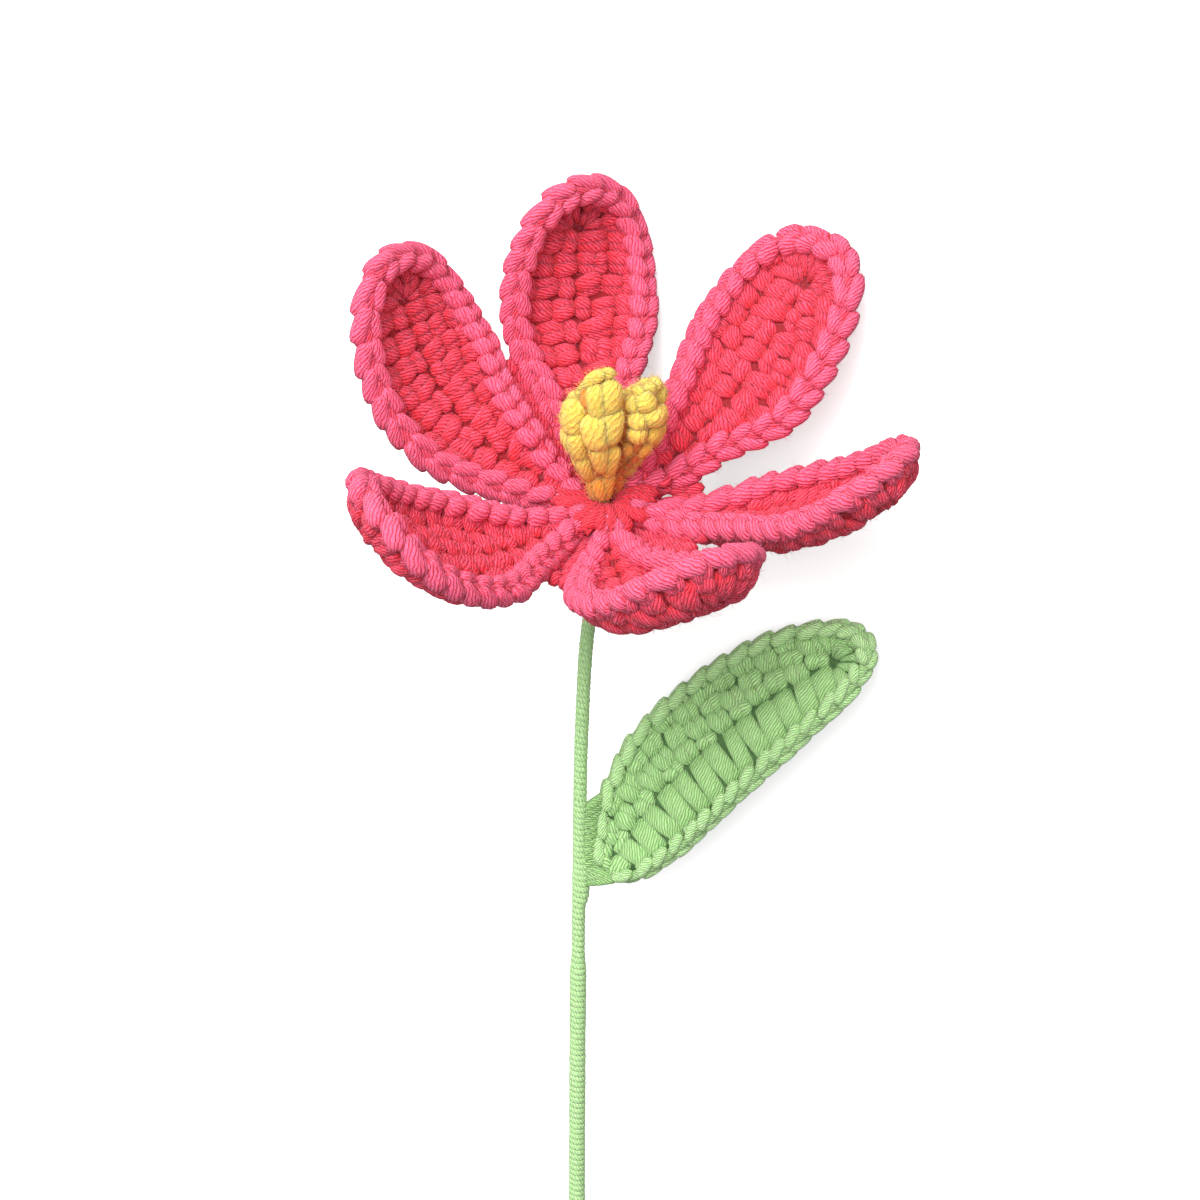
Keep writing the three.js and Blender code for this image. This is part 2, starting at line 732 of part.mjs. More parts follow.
// Lays the flower on its back, rolled towards its right: it tips from one point of support to the
// next until the middle of its weight is as low as it can get
function layDown(object) {
  object.updateMatrixWorld(true);
  const points = [];
  const centre = new THREE.Vector3();
  let volume = 0;
  object.traverse((child) => {
    if (child.isMesh) {
      const geometry = child.geometry.clone().applyMatrix4(child.matrixWorld);
      const position = geometry.getAttribute('position');
      const index = geometry.getIndex() ? geometry.getIndex().array : position.array.map((v, i) => i);
      const body = bodyMoments(position, geometry.getIndex() ? index : [...Array(position.count).keys()]);
      volume += body.volume;
      centre.add(body.moment);
      for (let at = 0; at < position.count; at += 1) {
        points.push(new THREE.Vector3().fromBufferAttribute(position, at));
      }
    }
  });
  centre.divideScalar(volume);
  const down = new THREE.Vector3(Math.sin(restRoll * degrees), Math.cos(restRoll * degrees), 0);
  for (let stride = 0.02; stride > 1e-6; stride *= 0.99) {
    const lowest = points.reduce((best, point) => (point.dot(down) > best.dot(down) ? point : best));
    const pull = lowest.clone().sub(centre);
    pull.addScaledVector(down, -pull.dot(down)).normalize();
    down.addScaledVector(pull, -stride).normalize();
  }
  const ahead = upward.clone().addScaledVector(down, -upward.dot(down)).normalize();
  const above = down.clone().negate();
  const right = ahead.clone().cross(above);
  const turn = new THREE.Matrix4().makeBasis(right, ahead, above).transpose();
  const box = new THREE.Box3();
  points.forEach((point) => box.expandByPoint(point.applyMatrix4(turn)));
  object.applyMatrix4(turn);
  object.position.set(-(box.min.x + box.max.x) / 2, -(box.min.y + box.max.y) / 2, -box.min.z);
}
layDown(standing);

const flower = new THREE.Group();
flower.add(standing);
export default flower;
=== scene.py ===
# A crocheted flower lying on its back: six pink petals and a yellow stamen of thick soft yarn, on a
# wire stem wound with green yarn that carries one long leaf. Lengths are written in millimetres,
# with the flower upright as it is made, and each piece is then laid down as the flower lies.
import json
import math

import bpy
import numpy as np
from mathutils import Matrix, Vector


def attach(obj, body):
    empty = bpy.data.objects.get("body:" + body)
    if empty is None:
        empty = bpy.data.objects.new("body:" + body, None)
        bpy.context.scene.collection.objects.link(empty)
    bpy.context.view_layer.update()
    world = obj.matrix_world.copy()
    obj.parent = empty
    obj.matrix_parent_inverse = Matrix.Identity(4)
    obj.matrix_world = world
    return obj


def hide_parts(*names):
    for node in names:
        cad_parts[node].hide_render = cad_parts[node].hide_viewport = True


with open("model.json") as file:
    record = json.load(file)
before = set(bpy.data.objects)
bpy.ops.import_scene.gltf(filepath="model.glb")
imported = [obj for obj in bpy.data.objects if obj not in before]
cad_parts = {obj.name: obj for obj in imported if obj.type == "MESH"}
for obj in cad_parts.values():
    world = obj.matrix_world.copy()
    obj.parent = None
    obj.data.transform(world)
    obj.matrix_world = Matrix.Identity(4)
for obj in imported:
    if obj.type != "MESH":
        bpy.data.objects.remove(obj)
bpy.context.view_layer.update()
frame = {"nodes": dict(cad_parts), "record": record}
bpy.ops.object.select_all(action="DESELECT")

# The lie of the flower. It rests on the backs of two petals and on the end of its stem, which is
# where the mount says. The head is bent 22 degrees forward of the stem, and the petals meet at its
# middle, which is at zero.
millimetre = 0.001
roll_to_right, stem_dip = math.radians(22.64064), math.radians(6.33025)
stem_end = (-7.2, 9.2, -232)
head_tilt = math.radians(22)
head_turn = Matrix.Rotation(head_tilt, 4, "X")

table_side = Vector((
    math.sin(roll_to_right) * math.cos(stem_dip),
    math.cos(roll_to_right) * math.cos(stem_dip),
    -math.sin(stem_dip)))
head_side = (Vector((0, 0, 1)) + table_side * math.sin(stem_dip)).normalized()
lie_turn = Matrix((head_side.cross(-table_side), head_side, -table_side))
stem_end_mount = next(mount for mount in frame["record"]["mounts"] if mount["name"] == "stem_end")
lie_place = Vector(stem_end_mount["pos_m"]) / millimetre - lie_turn @ Vector(stem_end)
laid_down = Matrix.Translation(lie_place) @ lie_turn.to_4x4()


def lay_down(points, turn=None):
    """Takes points from where they are made to where they lie, in metres."""
    whole = laid_down @ turn if turn is not None else laid_down
    matrix = np.array(whole)
    return (points @ matrix[:3, :3].T + matrix[:3, 3]) * millimetre


# Petals. Each is worked in thick soft yarn both ways round a foundation chain, then once round the
# edge over a wire, so the rim has two ropes of loops with a notch between. Each was bent by hand
# into a deep cup, with its rim folded up.
petal_pattern = {
    "length": 77, "width": 39.6, "base_width": 5.2, "widest": 48, "chain_short": 14,
    "side_stitches": 12, "tip_stitches": 6, "rim_rise": 18, "relief_rise": 14,
    "base_rim": 0.35, "left_flare": 1.15, "right_flare": 1.15, "tip_shape": 2.4, "yarn": 1.0,
}
petal_poses = [
    {"azimuth": -71, "lean": 7, "curl": (56, 53), "sway": 53, "roll": 37, "twist": -42,
     "walls": (84, 87), "rim": 8},
    {"azimuth": -8, "lean": 13, "curl": (71, 49), "sway": 12, "roll": 26, "twist": -63,
     "walls": (81, 83), "rim": 10.5},
    {"azimuth": 58, "lean": 13, "curl": (81, -41), "sway": -28, "roll": -28, "twist": 28,
     "walls": (83, 79), "rim": 9.5},
    {"azimuth": 103, "lean": -14, "curl": (68, 72), "sway": 30, "roll": 12, "twist": 1,
     "walls": (96, 97), "rim": 12},
    {"azimuth": 178, "lean": -16, "curl": (80, 80), "sway": -60, "roll": -10, "twist": 12,
     "walls": (93, 95), "rim": 13},
    {"azimuth": 226, "lean": -6, "curl": (61, 73), "sway": 23, "roll": 12, "twist": -1,
     "walls": (83, 88), "rim": 10.5},
]
petal_start = 5.5
petal_spacing = 0.35
sector_held_to, sector_free_from = 28, 42
rope_inset, rope_ridge, rope_crest = 2.4, 2.9, 0.3
notch_depth, base_notch_depth = 3.0, 1.5
base_insets, base_relief = 0.55, 0.68
walls_change_from, walls_change_over = 0.42, 0.16


def mix(a, b, share):
    """The value a share of the way from a to b."""
    return a + (b - a) * share


def ease(value):
    """A share from 0 to 1 that leaves 0 and reaches 1 gently."""
    share = np.clip(value, 0, 1)
    return share * share * (3 - 2 * share)


def bend_midline(pose, length, start):
    """The bent middle line of a petal or leaf: places, and the ways along, across and off it."""
    steps = 32
    azimuth, lean, roll = (math.radians(pose[key]) for key in ("azimuth", "lean", "roll"))
    outward = np.array([math.sin(azimuth), math.cos(azimuth), 0.0])
    up = np.array([0.0, 0.0, 1.0])
    along = outward * math.cos(lean) + up * math.sin(lean)
    face = up * math.cos(lean) - outward * math.sin(lean)
    across = np.cross(along, face)

    def turn(first, second, angle):
        return (first * math.cos(angle) + second * math.sin(angle),
                second * math.cos(angle) - first * math.sin(angle))

    across, face = turn(across, face, roll)
    place = np.array(start, float)
    rows = [(place, along, across, face)]
    for step in range(steps):
        curl = mix(*pose["curl"], (step + 0.5) / steps)
        along, face = turn(along, face, math.radians(curl / steps))
        along, across = turn(along, across, math.radians(pose["sway"] / steps))
        across, face = turn(across, face, math.radians(pose["twist"] / steps))
        place = place + along * length / steps
        rows.append((place, along, across, face))
    return [np.array(column) for column in zip(*rows)]


def lay_fabric(pattern, pose, start, sector=None):
    """Everything that is needed to find a place on one crocheted piece."""
    fabric = dict(pattern)
    fabric["total"] = 2 * pattern["side_stitches"] + pattern["tip_stitches"]
    fabric["chain"] = pattern["length"] - pattern["chain_short"]
    fabric["lines"] = bend_midline(pose, pattern["length"], start)
    fabric["pose"] = pose
    fabric["sector"] = sector
    return fabric


def columns_of(fabric, count):
    """Where each column of stitches starts on the chain, which way it runs, and how far."""
    sides, tips, total = fabric["side_stitches"], fabric["tip_stitches"], fabric["total"]
    widest, half, base = fabric["widest"], fabric["width"] / 2, fabric["base_width"] / 2
    shape = fabric["tip_shape"]
    tip_length = fabric["length"] - widest
    from_base = np.minimum(count, total - count)
    foot = np.minimum(from_base, sides) / sides * fabric["chain"]
    flare = np.where(count < total / 2, fabric["left_flare"], fabric["right_flare"])
    rise = np.sin(np.clip(foot / widest, 0, 1) * math.pi / 2)
    beyond = np.clip((foot - widest) / tip_length, 0, 1)
    offset = np.where(foot < widest, mix(base, half, rise ** flare),
                      half * (1 - beyond ** shape) ** (1 / shape))
    fan = math.acos(((fabric["chain"] - widest) / tip_length) ** (shape / 2))
    angle = mix(-fan, fan, np.clip((count - sides) / tips, 0, 1))
    in_fan = from_base > sides
    edge_along = np.where(in_fan, widest + tip_length * np.cos(angle) ** (2 / shape), foot)
    round_tip = half * np.sign(angle) * np.abs(np.sin(angle)) ** (2 / shape)
    edge_across = np.where(in_fan, round_tip, np.where(count < total / 2, -1, 1) * offset)
    reach = np.hypot(edge_along - foot, edge_across)
    growth = np.clip(foot / fabric["relief_rise"], 0, 1)
    return {
        "foot": foot, "reach": reach, "from_base": from_base,
        "along": (edge_along - foot) / reach, "across": edge_across / reach,
        "relief": mix(base_relief, 1, growth) * fabric["yarn"],
        "insets": mix(base_insets, 1, growth) * fabric["yarn"],
        "notch": mix(base_notch_depth, notch_depth * math.sqrt(fabric["yarn"]), growth),
    }


def on_fabric(fabric, count, inset, lift):
    """Places on the fabric, by the count of stitches round the edge, the way in from the edge and
    the height off the middle of the fabric. Also gives the way off the fabric at each."""
    count, inset, lift = np.broadcast_arrays(*(np.asarray(v, float) for v in (count, inset, lift)))
    pose, ray = fabric["pose"], columns_of(fabric, count)
    rim = np.minimum(pose["rim"], 0.7 * ray["reach"])
    side = np.clip((count / fabric["total"] - walls_change_from) / walls_change_over, 0, 1)
    rise = np.clip(ray["from_base"] / fabric["side_stitches"] * fabric["chain"] / fabric["rim_rise"], 0, 1)
    wall = np.radians(mix(*pose["walls"], side) * mix(fabric["base_rim"], 1, rise))
    rope = np.maximum(rope_inset * ray["insets"], ray["notch"])

    def bend_at(depth):
        """How far the folded rim has bent up, at a depth in from the edge."""
        return np.maximum(0, (rim - depth) / rim) * wall

    held = np.maximum(inset, rope)
    bend, rope_bend = bend_at(held), bend_at(rope / 2)
    outward = ray["reach"] - np.maximum(held, rim) + rim / wall * np.sin(bend)
    height = rim / wall * (1 - np.cos(bend))
    places, alongs, acrosses, faces = fabric["lines"]
    position = (ray["foot"] + ray["along"] * outward) / fabric["length"] * (len(places) - 1)
    index = np.clip(np.floor(position).astype(int), 0, len(places) - 2)
    share = (position - index)[..., None]
    across = mix(acrosses[index], acrosses[index + 1], share)
    face = mix(faces[index], faces[index + 1], share)
    along = alongs[index]
    point = mix(places[index], places[index + 1], share)
    point = point + across * (ray["across"] * outward)[..., None] + face * height[..., None]
    if fabric["sector"]:
        azimuth, before, after = fabric["sector"]
        beside = rope_ridge * ray["relief"] * np.sin(rope_bend) + (rope + rope_crest) * np.cos(rope_bend)
        spare = petal_spacing + beside * np.clip(outward / (ray["reach"] - rope), 0, 1)
        radius = np.maximum(np.hypot(point[..., 0], point[..., 1]), 1e-6)
        hold = 1 - ease((radius - sector_held_to) / (sector_free_from - sector_held_to))
        turn = np.arctan2(point[..., 0], point[..., 1]) - azimuth
        turn = np.arctan2(np.sin(turn), np.cos(turn))
        room = np.where(turn < 0, before, after) - spare / radius
        part = np.abs(turn) / room
        angle = azimuth + mix(turn, turn / (1 + part ** 4) ** 0.25, hold)
        point[..., 0], point[..., 1] = np.sin(angle) * radius, np.cos(angle) * radius
    slope = np.where(inset > rope, bend, rope_bend)
    further = held - inset
    way = across * ray["across"][..., None] + along * ray["along"][..., None]
    off = face * np.cos(slope)[..., None] - way * np.sin(slope)[..., None]
    out = way * np.cos(slope)[..., None] + face * np.sin(slope)[..., None]
    return point + out * further[..., None] + off * lift[..., None], off


class Yarn:
    """Collects lengths of yarn, each a soft oval tube with rounded ends, into one mesh."""

    def __init__(self):
        self.points, self.faces, self.uvs, self.painted_shades = [], [], [], []
        self.skin, self.outward = [], []
        self.used = 0

    def lay(self, path, off, wide, tall, painted_shade, sides=10, shift=0.0, round_ends=2.0):
        """path and off are rows of points, wide and tall the half sizes at each, painted_shade its painted
        shade, dark where shade falls between strands.
        """
        path, off = np.asarray(path, float), np.asarray(off, float)
        rows = len(path)
        step = np.linalg.norm(np.diff(path, axis=0), axis=1)
        length = np.concatenate([[0], np.cumsum(step)])
        tangent = np.gradient(path, axis=0)
        tangent /= np.linalg.norm(tangent, axis=1)[:, None] + 1e-9
        across = np.cross(tangent, off)
        across /= np.linalg.norm(across, axis=1)[:, None] + 1e-9
        up = np.cross(across, tangent)
        wide = np.broadcast_to(wide, rows) + 0.0
        tall = np.broadcast_to(tall, rows) + 0.0
        painted_shade = np.broadcast_to(painted_shade, rows) + 0.0
        if round_ends:
            near = np.minimum(length, length[-1] - length) / round_ends
            taper = np.sqrt(np.clip(1 - (1 - np.clip(near, 0, 1)) ** 2, 0, 1))
            wide, tall = wide * taper, tall * taper
        turn = np.arange(sides) / sides * 2 * math.pi
        ring = (path[:, None] + across[:, None] * (wide[:, None] * np.cos(turn))[..., None]
                + up[:, None] * (tall[:, None] * np.sin(turn))[..., None])
        inner = ring[1:-1].reshape(-1, 3)
        self.skin.append(inner)
        self.outward.append(inner - np.repeat(path[1:-1], sides, axis=0))
        first = self.used
        self.points.append(np.vstack([path[:1], inner, path[-1:]]))
        shade = np.repeat(painted_shade[1:-1], sides)
        self.painted_shades.append(np.concatenate([painted_shade[:1], shade, painted_shade[-1:]]))
        last = first + 1 + len(inner)
        self.used = last + 1
        around = np.arange(sides)
        beside = (around + 1) % sides
        for row in range(rows - 3):
            here = first + 1 + row * sides
            quad = np.stack([here + around, here + beside, here + sides + beside, here + sides + around], 1)
            self.faces.append(quad)
            low, high = length[row + 1] / 10 + shift, length[row + 2] / 10 + shift
            left, right = around / sides, (around + 1) / sides
            self.uvs.append(np.stack([
                np.stack([np.full(sides, low), left], 1), np.stack([np.full(sides, low), right], 1),
                np.stack([np.full(sides, high), right], 1), np.stack([np.full(sides, high), left], 1)], 1))
        for tip, row, flip in ((first, 0, True), (last, rows - 3, False)):
            here = first + 1 + row * sides
            pair = (here + beside, here + around) if flip else (here + around, here + beside)
            self.faces.append(np.stack([np.full(sides, tip), *pair], 1))
            at = length[0 if flip else -1] / 10 + shift
            ring_at = length[1 if flip else -2] / 10 + shift
            middle = (around + 0.5) / sides
            ends = (around + 1, around) if flip else (around, around + 1)
            self.uvs.append(np.stack([
                np.stack([np.full(sides, at), middle], 1),
                np.stack([np.full(sides, ring_at), ends[0] / sides], 1),
                np.stack([np.full(sides, ring_at), ends[1] / sides], 1)], 1))

    def fluff(self, count, long, thin, seed):
        """Adds stray fibres, thin hairs that stand off the yarn in all ways."""
        chance = np.random.default_rng(seed)
        skin, outward = np.vstack(self.skin), np.vstack(self.outward)
        picked = chance.integers(0, len(skin), count)
        way = outward[picked] / (np.linalg.norm(outward[picked], axis=1)[:, None] + 1e-9)
        way = way + chance.normal(0, 0.6, (count, 3))
        way /= np.linalg.norm(way, axis=1)[:, None]
        side = np.cross(way, chance.normal(0, 1, (count, 3)))
        side /= np.linalg.norm(side, axis=1)[:, None]
        third = np.cross(way, side)
        corners, third_of_turn = 3, 2 * math.pi / 3
        spots_each = 2 * corners + 1
        length = (long * chance.uniform(0.35, 1, count))[:, None]
        sweep = side * chance.uniform(-0.9, 0.9, count)[:, None]
        sweep = sweep + third * chance.uniform(-0.9, 0.9, count)[:, None]
        spots = []
        for travel, radius in ((-0.1, thin), (0.45, thin * 0.85)):
            centre = skin[picked] + (way * travel + sweep * travel * abs(travel)) * length
            for angle in (0, third_of_turn, 2 * third_of_turn):
                spots.append(centre + (side * math.cos(angle) + third * math.sin(angle)) * radius)
        spots.append(skin[picked] + (way + sweep) * length)
        first = self.used + np.arange(count) * spots_each
        self.points.append(np.stack(spots, 1).reshape(-1, 3))
        # The fibres are painted at the light, lit end of the painted shade.
        self.painted_shades.append(np.full(count * spots_each, -0.15))
        self.used += count * spots_each
        for corner in range(corners):
            beside = (corner + 1) % corners
            self.faces.append(np.stack([first + corner, first + beside,
                                        first + corners + beside, first + corners + corner], 1))
            self.uvs.append(np.full((count, 4, 2), 0.5))
            self.faces.append(np.stack([first + corners + corner, first + corners + beside,
                                        first + 2 * corners], 1))
            self.uvs.append(np.full((count, 3, 2), 0.5))
        self.faces.append(np.stack([first + 2, first + 1, first], 1))
        self.uvs.append(np.full((count, 3, 2), 0.5))

    def mesh(self, name, turn=None):
        """Makes all that was laid into one piece, laid down as the flower lies."""
        points = lay_down(np.vstack(self.points), turn)
        faces = [list(face) for block in self.faces for face in block.tolist()]
        mesh = bpy.data.meshes.new(name)
        mesh.from_pydata(points.tolist(), [], faces)
        layer = mesh.uv_layers.new(name="UVMap")
        layer.data.foreach_set("uv", np.concatenate([block.reshape(-1) for block in self.uvs]))
        # Each point's painted shade, which the yarn's colour ramp reads: dark where shade falls between
        # strands.
        shade = mesh.attributes.new("painted_shade", "FLOAT", "POINT")
        shade.data.foreach_set("value", np.concatenate(self.painted_shades))
        mesh.polygons.foreach_set("use_smooth", [True] * len(mesh.polygons))
        mesh.update()
        piece = bpy.data.objects.new(name, mesh)
        bpy.context.collection.objects.link(piece)
        return piece


post_foot, brick_shift = 4.6, 0.26
narrowest_stitch, broadest_stitch = 1.4, 6.5
leg_at_ends, leg_at_middle, plain_leg = 0.29, 0.35, 0.49


def crochet(fabric, seed, tier=5.6, rope=2.2, plain_half=False):
    """Works the yarn of one petal or leaf: V-shaped stitches in tiers on both sides, rim posts, the
    rim's double chain and a rope under it. On a plain half each stitch is one long bar."""
    chance = np.random.default_rng(seed)
    yarn = Yarn()
    total, thick = fabric["total"], fabric["yarn"]
    travel = np.linspace(0, 1, 9)
    bulge = np.sin(travel * math.pi)
    for stitch in range(total):
        # The tiers of one column, on the face and on the back.
        middle = stitch + 0.5
        ray = columns_of(fabric, np.array(middle))
        insets, relief, reach = float(ray["insets"]), float(ray["relief"]), float(ray["reach"])
        foot = min(post_foot * insets, 0.9 * reach)
        in_fan = fabric["side_stitches"] < middle < total - fabric["side_stitches"]
        start = reach - 1.5 if in_fan else reach + (0.9 if plain_half else 0.4)
        end = max(foot - 0.6 * insets, 1.5)
        plain = plain_half and middle > total / 2
        tiers = 1 if plain else max(1, round((start - end) / tier / chance.uniform(0.85, 1.15)))
        borders = np.linspace(start, end, tiers + 1)
        bond = brick_shift * tier * (1 if stitch % 2 else -1)
        borders[1:-1] += bond + chance.uniform(-1.3, 1.3, tiers - 1)
        for here in range(tiers):
            inset = mix(borders[here] + (0.5 if here else 0), borders[here + 1] - 1.1, travel)
            inset = np.minimum(inset, reach + 0.8)
            width = np.linalg.norm(on_fabric(fabric, middle + 0.5, inset, 0)[0]
                                   - on_fabric(fabric, middle - 0.5, inset, 0)[0], axis=1)
            width = np.clip(width, narrowest_stitch, broadest_stitch)
            lean = chance.uniform(0.04, 0.26) * (1 if (here + stitch) % 2 else -1)
            inset = inset + chance.uniform(-0.5, 0.5)
            for side in (-1, 1):
                for leg in ((0,) if plain else (-1, 1)):
                    spread = mix(0.1, 0.27, travel) * chance.uniform(0.85, 1.15)
                    sideways = leg * spread + lean * (travel - 0.5) * 2
                    uneven = chance.uniform(-0.25, 0.25) - 0.25 * leg * side
                    lift = side * relief * (0.15 + 1.05 * bulge) + uneven
                    path, off = on_fabric(fabric, middle + sideways, inset, lift)
                    share_of_width = plain_leg if plain else mix(leg_at_ends, leg_at_middle, bulge)
                    size = width * share_of_width * chance.uniform(0.9, 1.13)
                    tall = relief * mix(0.9, 1.25, bulge)
                    # Painted shade: dark where stitches meet and light on each stitch's crest.
                    yarn.lay(path, off, size, tall, 0.72 - 0.36 * bulge, shift=chance.uniform(0, 1),
                             round_ends=1.8)
        # The rim's posts at this column, two on each side, and a loop of the double chain on each.
        plump = 0.5 + 0.5 * relief / thick
        for side in (-1, 1):
            for leg in (-1, 1):
                inset = mix(foot + 0.9 * insets, 1.8 * insets, travel)
                sideways = leg * mix(0.1, 0.25, travel) + side * 0.12
                lift = side * relief * mix(0.8, 1.5, ease(travel * 1.5))
                path, off = on_fabric(fabric, middle + sideways, np.minimum(inset, 0.95 * reach), lift)
                size = 1.3 * thick * plump * chance.uniform(0.95, 1.1)
                yarn.lay(path, off, size, size * 0.9, 0.28, sides=8, shift=chance.uniform(0, 1))
            count = middle + mix(-0.45, 0.8, travel) + chance.uniform(-0.1, 0.1)
            count = np.clip(count, 0.02, total - 0.02)
            inset = insets * mix(3.1, 0.9, travel) + chance.uniform(-0.2, 0.2)
            lift = side * relief * mix(2.0, 0.55, ease(travel)) + side * 0.45 * bulge
            path, off = on_fabric(fabric, count, inset, lift)
            size = rope * thick * plump * chance.uniform(0.93, 1.07)
            # Painted shade: the rim's chain is painted lighter than the cup's floor.
            yarn.lay(path, off, size, size * 0.82, 0.26 - 0.24 * bulge, shift=chance.uniform(0, 1))
    # The rope that goes once round the edge, under the chain.
    rounds = np.linspace(0.03, total - 0.03, total * 6)
    ray = columns_of(fabric, rounds)
    path, off = on_fabric(fabric, rounds, 1.9 * ray["insets"], 0)
    yarn.lay(path, off, 1.5 * ray["insets"], 1.5 * ray["relief"], 0.3, sides=8)
    return yarn


def core_of(fabric, name, turn=None):
    """The hidden middle of the fabric, so that no light passes between the strands, painted fully shaded so
    that gaps show as shade.
    """
    counts = np.linspace(0, fabric["total"], fabric["total"] * 2 + 1)
    ray = columns_of(fabric, counts)
    shares = np.linspace(1, 0, 9)
    rows = []
    for lift_side in (1, -1):
        for share in (shares if lift_side > 0 else shares[::-1]):
            inset = mix(ray["notch"] + 0.5, ray["reach"], share)
            thick = 0.75 * ray["relief"] * (1 if share < 1 else 0.8)
            rows.append(on_fabric(fabric, counts, inset, lift_side * thick)[0])
    grid = np.array(rows).transpose(1, 0, 2)
    across = grid.shape[1]
    faces = []
    for row in range(len(grid) - 1):
        for column in range(across - 1):
            here = row * across + column
            faces.append([here, here + 1, here + across + 1, here + across])
    last = (len(grid) - 1) * across
    faces.append(list(range(across))[::-1])
    faces.append([last + column for column in range(across)])
    mesh = bpy.data.meshes.new(name)
    mesh.from_pydata(lay_down(grid.reshape(-1, 3), turn).tolist(), [], faces)
    mesh.uv_layers.new(name="UVMap")
    shade = mesh.attributes.new("painted_shade", "FLOAT", "POINT")
    # Painted shade: the core is painted at the darkest, shaded colour.
    shade.data.foreach_set("value", np.full(len(mesh.vertices), 1.0))
    piece = bpy.data.objects.new(name, mesh)
    bpy.context.collection.objects.link(piece)
    bpy.context.view_layer.objects.active = piece
    piece.select_set(True)
    bpy.ops.object.mode_set(mode="EDIT")
    bpy.ops.mesh.select_all(action="SELECT")
    bpy.ops.mesh.remove_doubles(threshold=0.00001)
    bpy.ops.mesh.normals_make_consistent(inside=False)
    bpy.ops.object.mode_set(mode="OBJECT")
    bpy.ops.object.shade_smooth()
    piece.select_set(False)
    return piece


# Plied yarn as a node group, for every yarn of the flower: fine plies wind round each strand, with
# fibres along them. It reads the strand's own map, a centimetre to a unit along and once around.
plied = bpy.data.node_groups.new("plied_yarn", "ShaderNodeTree")
for socket, default in (("Plies", 16.0), ("Slant", 1.0), ("Fuzz", 0.35)):
    given_socket = plied.interface.new_socket(socket, in_out="INPUT", socket_type="NodeSocketFloat")
    given_socket.default_value = default
for socket in ("Height", "Ply", "Fibre"):
    plied.interface.new_socket(socket, in_out="OUTPUT", socket_type="NodeSocketFloat")
taken = plied.nodes.new("NodeGroupInput")
given = plied.nodes.new("NodeGroupOutput")
yarn_map = plied.nodes.new("ShaderNodeUVMap")
yarn_map.uv_map = "UVMap"
split = plied.nodes.new("ShaderNodeSeparateXYZ")
plied.links.new(yarn_map.outputs["UV"], split.inputs[0])


def plied_math(operation, first, second=None, third=None):
    """Adds a Math node to the group, whose values are numbers or other nodes' outputs."""
    node = plied.nodes.new("ShaderNodeMath")
    node.operation = operation
    for slot, value in enumerate((first, second, third)):
        if value is None:
            continue
        if isinstance(value, (int, float)):
            node.inputs[slot].default_value = value
        else:
            plied.links.new(value, node.inputs[slot])
    return node.outputs[0]


wander = plied.nodes.new("ShaderNodeTexNoise")
wander.inputs["Scale"].default_value = 9
wander.inputs["Detail"].default_value = 2
plied.links.new(yarn_map.outputs["UV"], wander.inputs["Vector"])
around = plied_math("MULTIPLY", split.outputs["Y"], taken.outputs["Plies"])
along = plied_math("MULTIPLY", split.outputs["X"], taken.outputs["Slant"])
winding = plied_math("ADD", around, plied_math("MULTIPLY", along, 10.0))
winding = plied_math("ADD", winding, plied_math("MULTIPLY", wander.outputs["Fac"], 1.3))
saw = plied_math("MULTIPLY_ADD", plied_math("FRACT", winding), 2.0, -1.0)
ply = plied_math("POWER", plied_math("SUBTRACT", 1.0, plied_math("MULTIPLY", saw, saw)), 0.6)
streak_at = plied.nodes.new("ShaderNodeCombineXYZ")
plied.links.new(plied_math("MULTIPLY", winding, 3.1), streak_at.inputs["X"])
plied.links.new(plied_math("MULTIPLY", split.outputs["X"], 9.0), streak_at.inputs["Y"])
streak = plied.nodes.new("ShaderNodeTexNoise")
streak.inputs["Scale"].default_value = 1.0
streak.inputs["Detail"].default_value = 3
streak.inputs["Roughness"].default_value = 0.7
plied.links.new(streak_at.outputs[0], streak.inputs["Vector"])
fuzzed = plied_math("MULTIPLY", streak.outputs["Fac"], taken.outputs["Fuzz"])
plied.links.new(plied_math("ADD", plied_math("MULTIPLY", ply, 0.8), fuzzed), given.inputs["Height"])
plied.links.new(ply, given.inputs["Ply"])
plied.links.new(streak.outputs["Fac"], given.inputs["Fibre"])


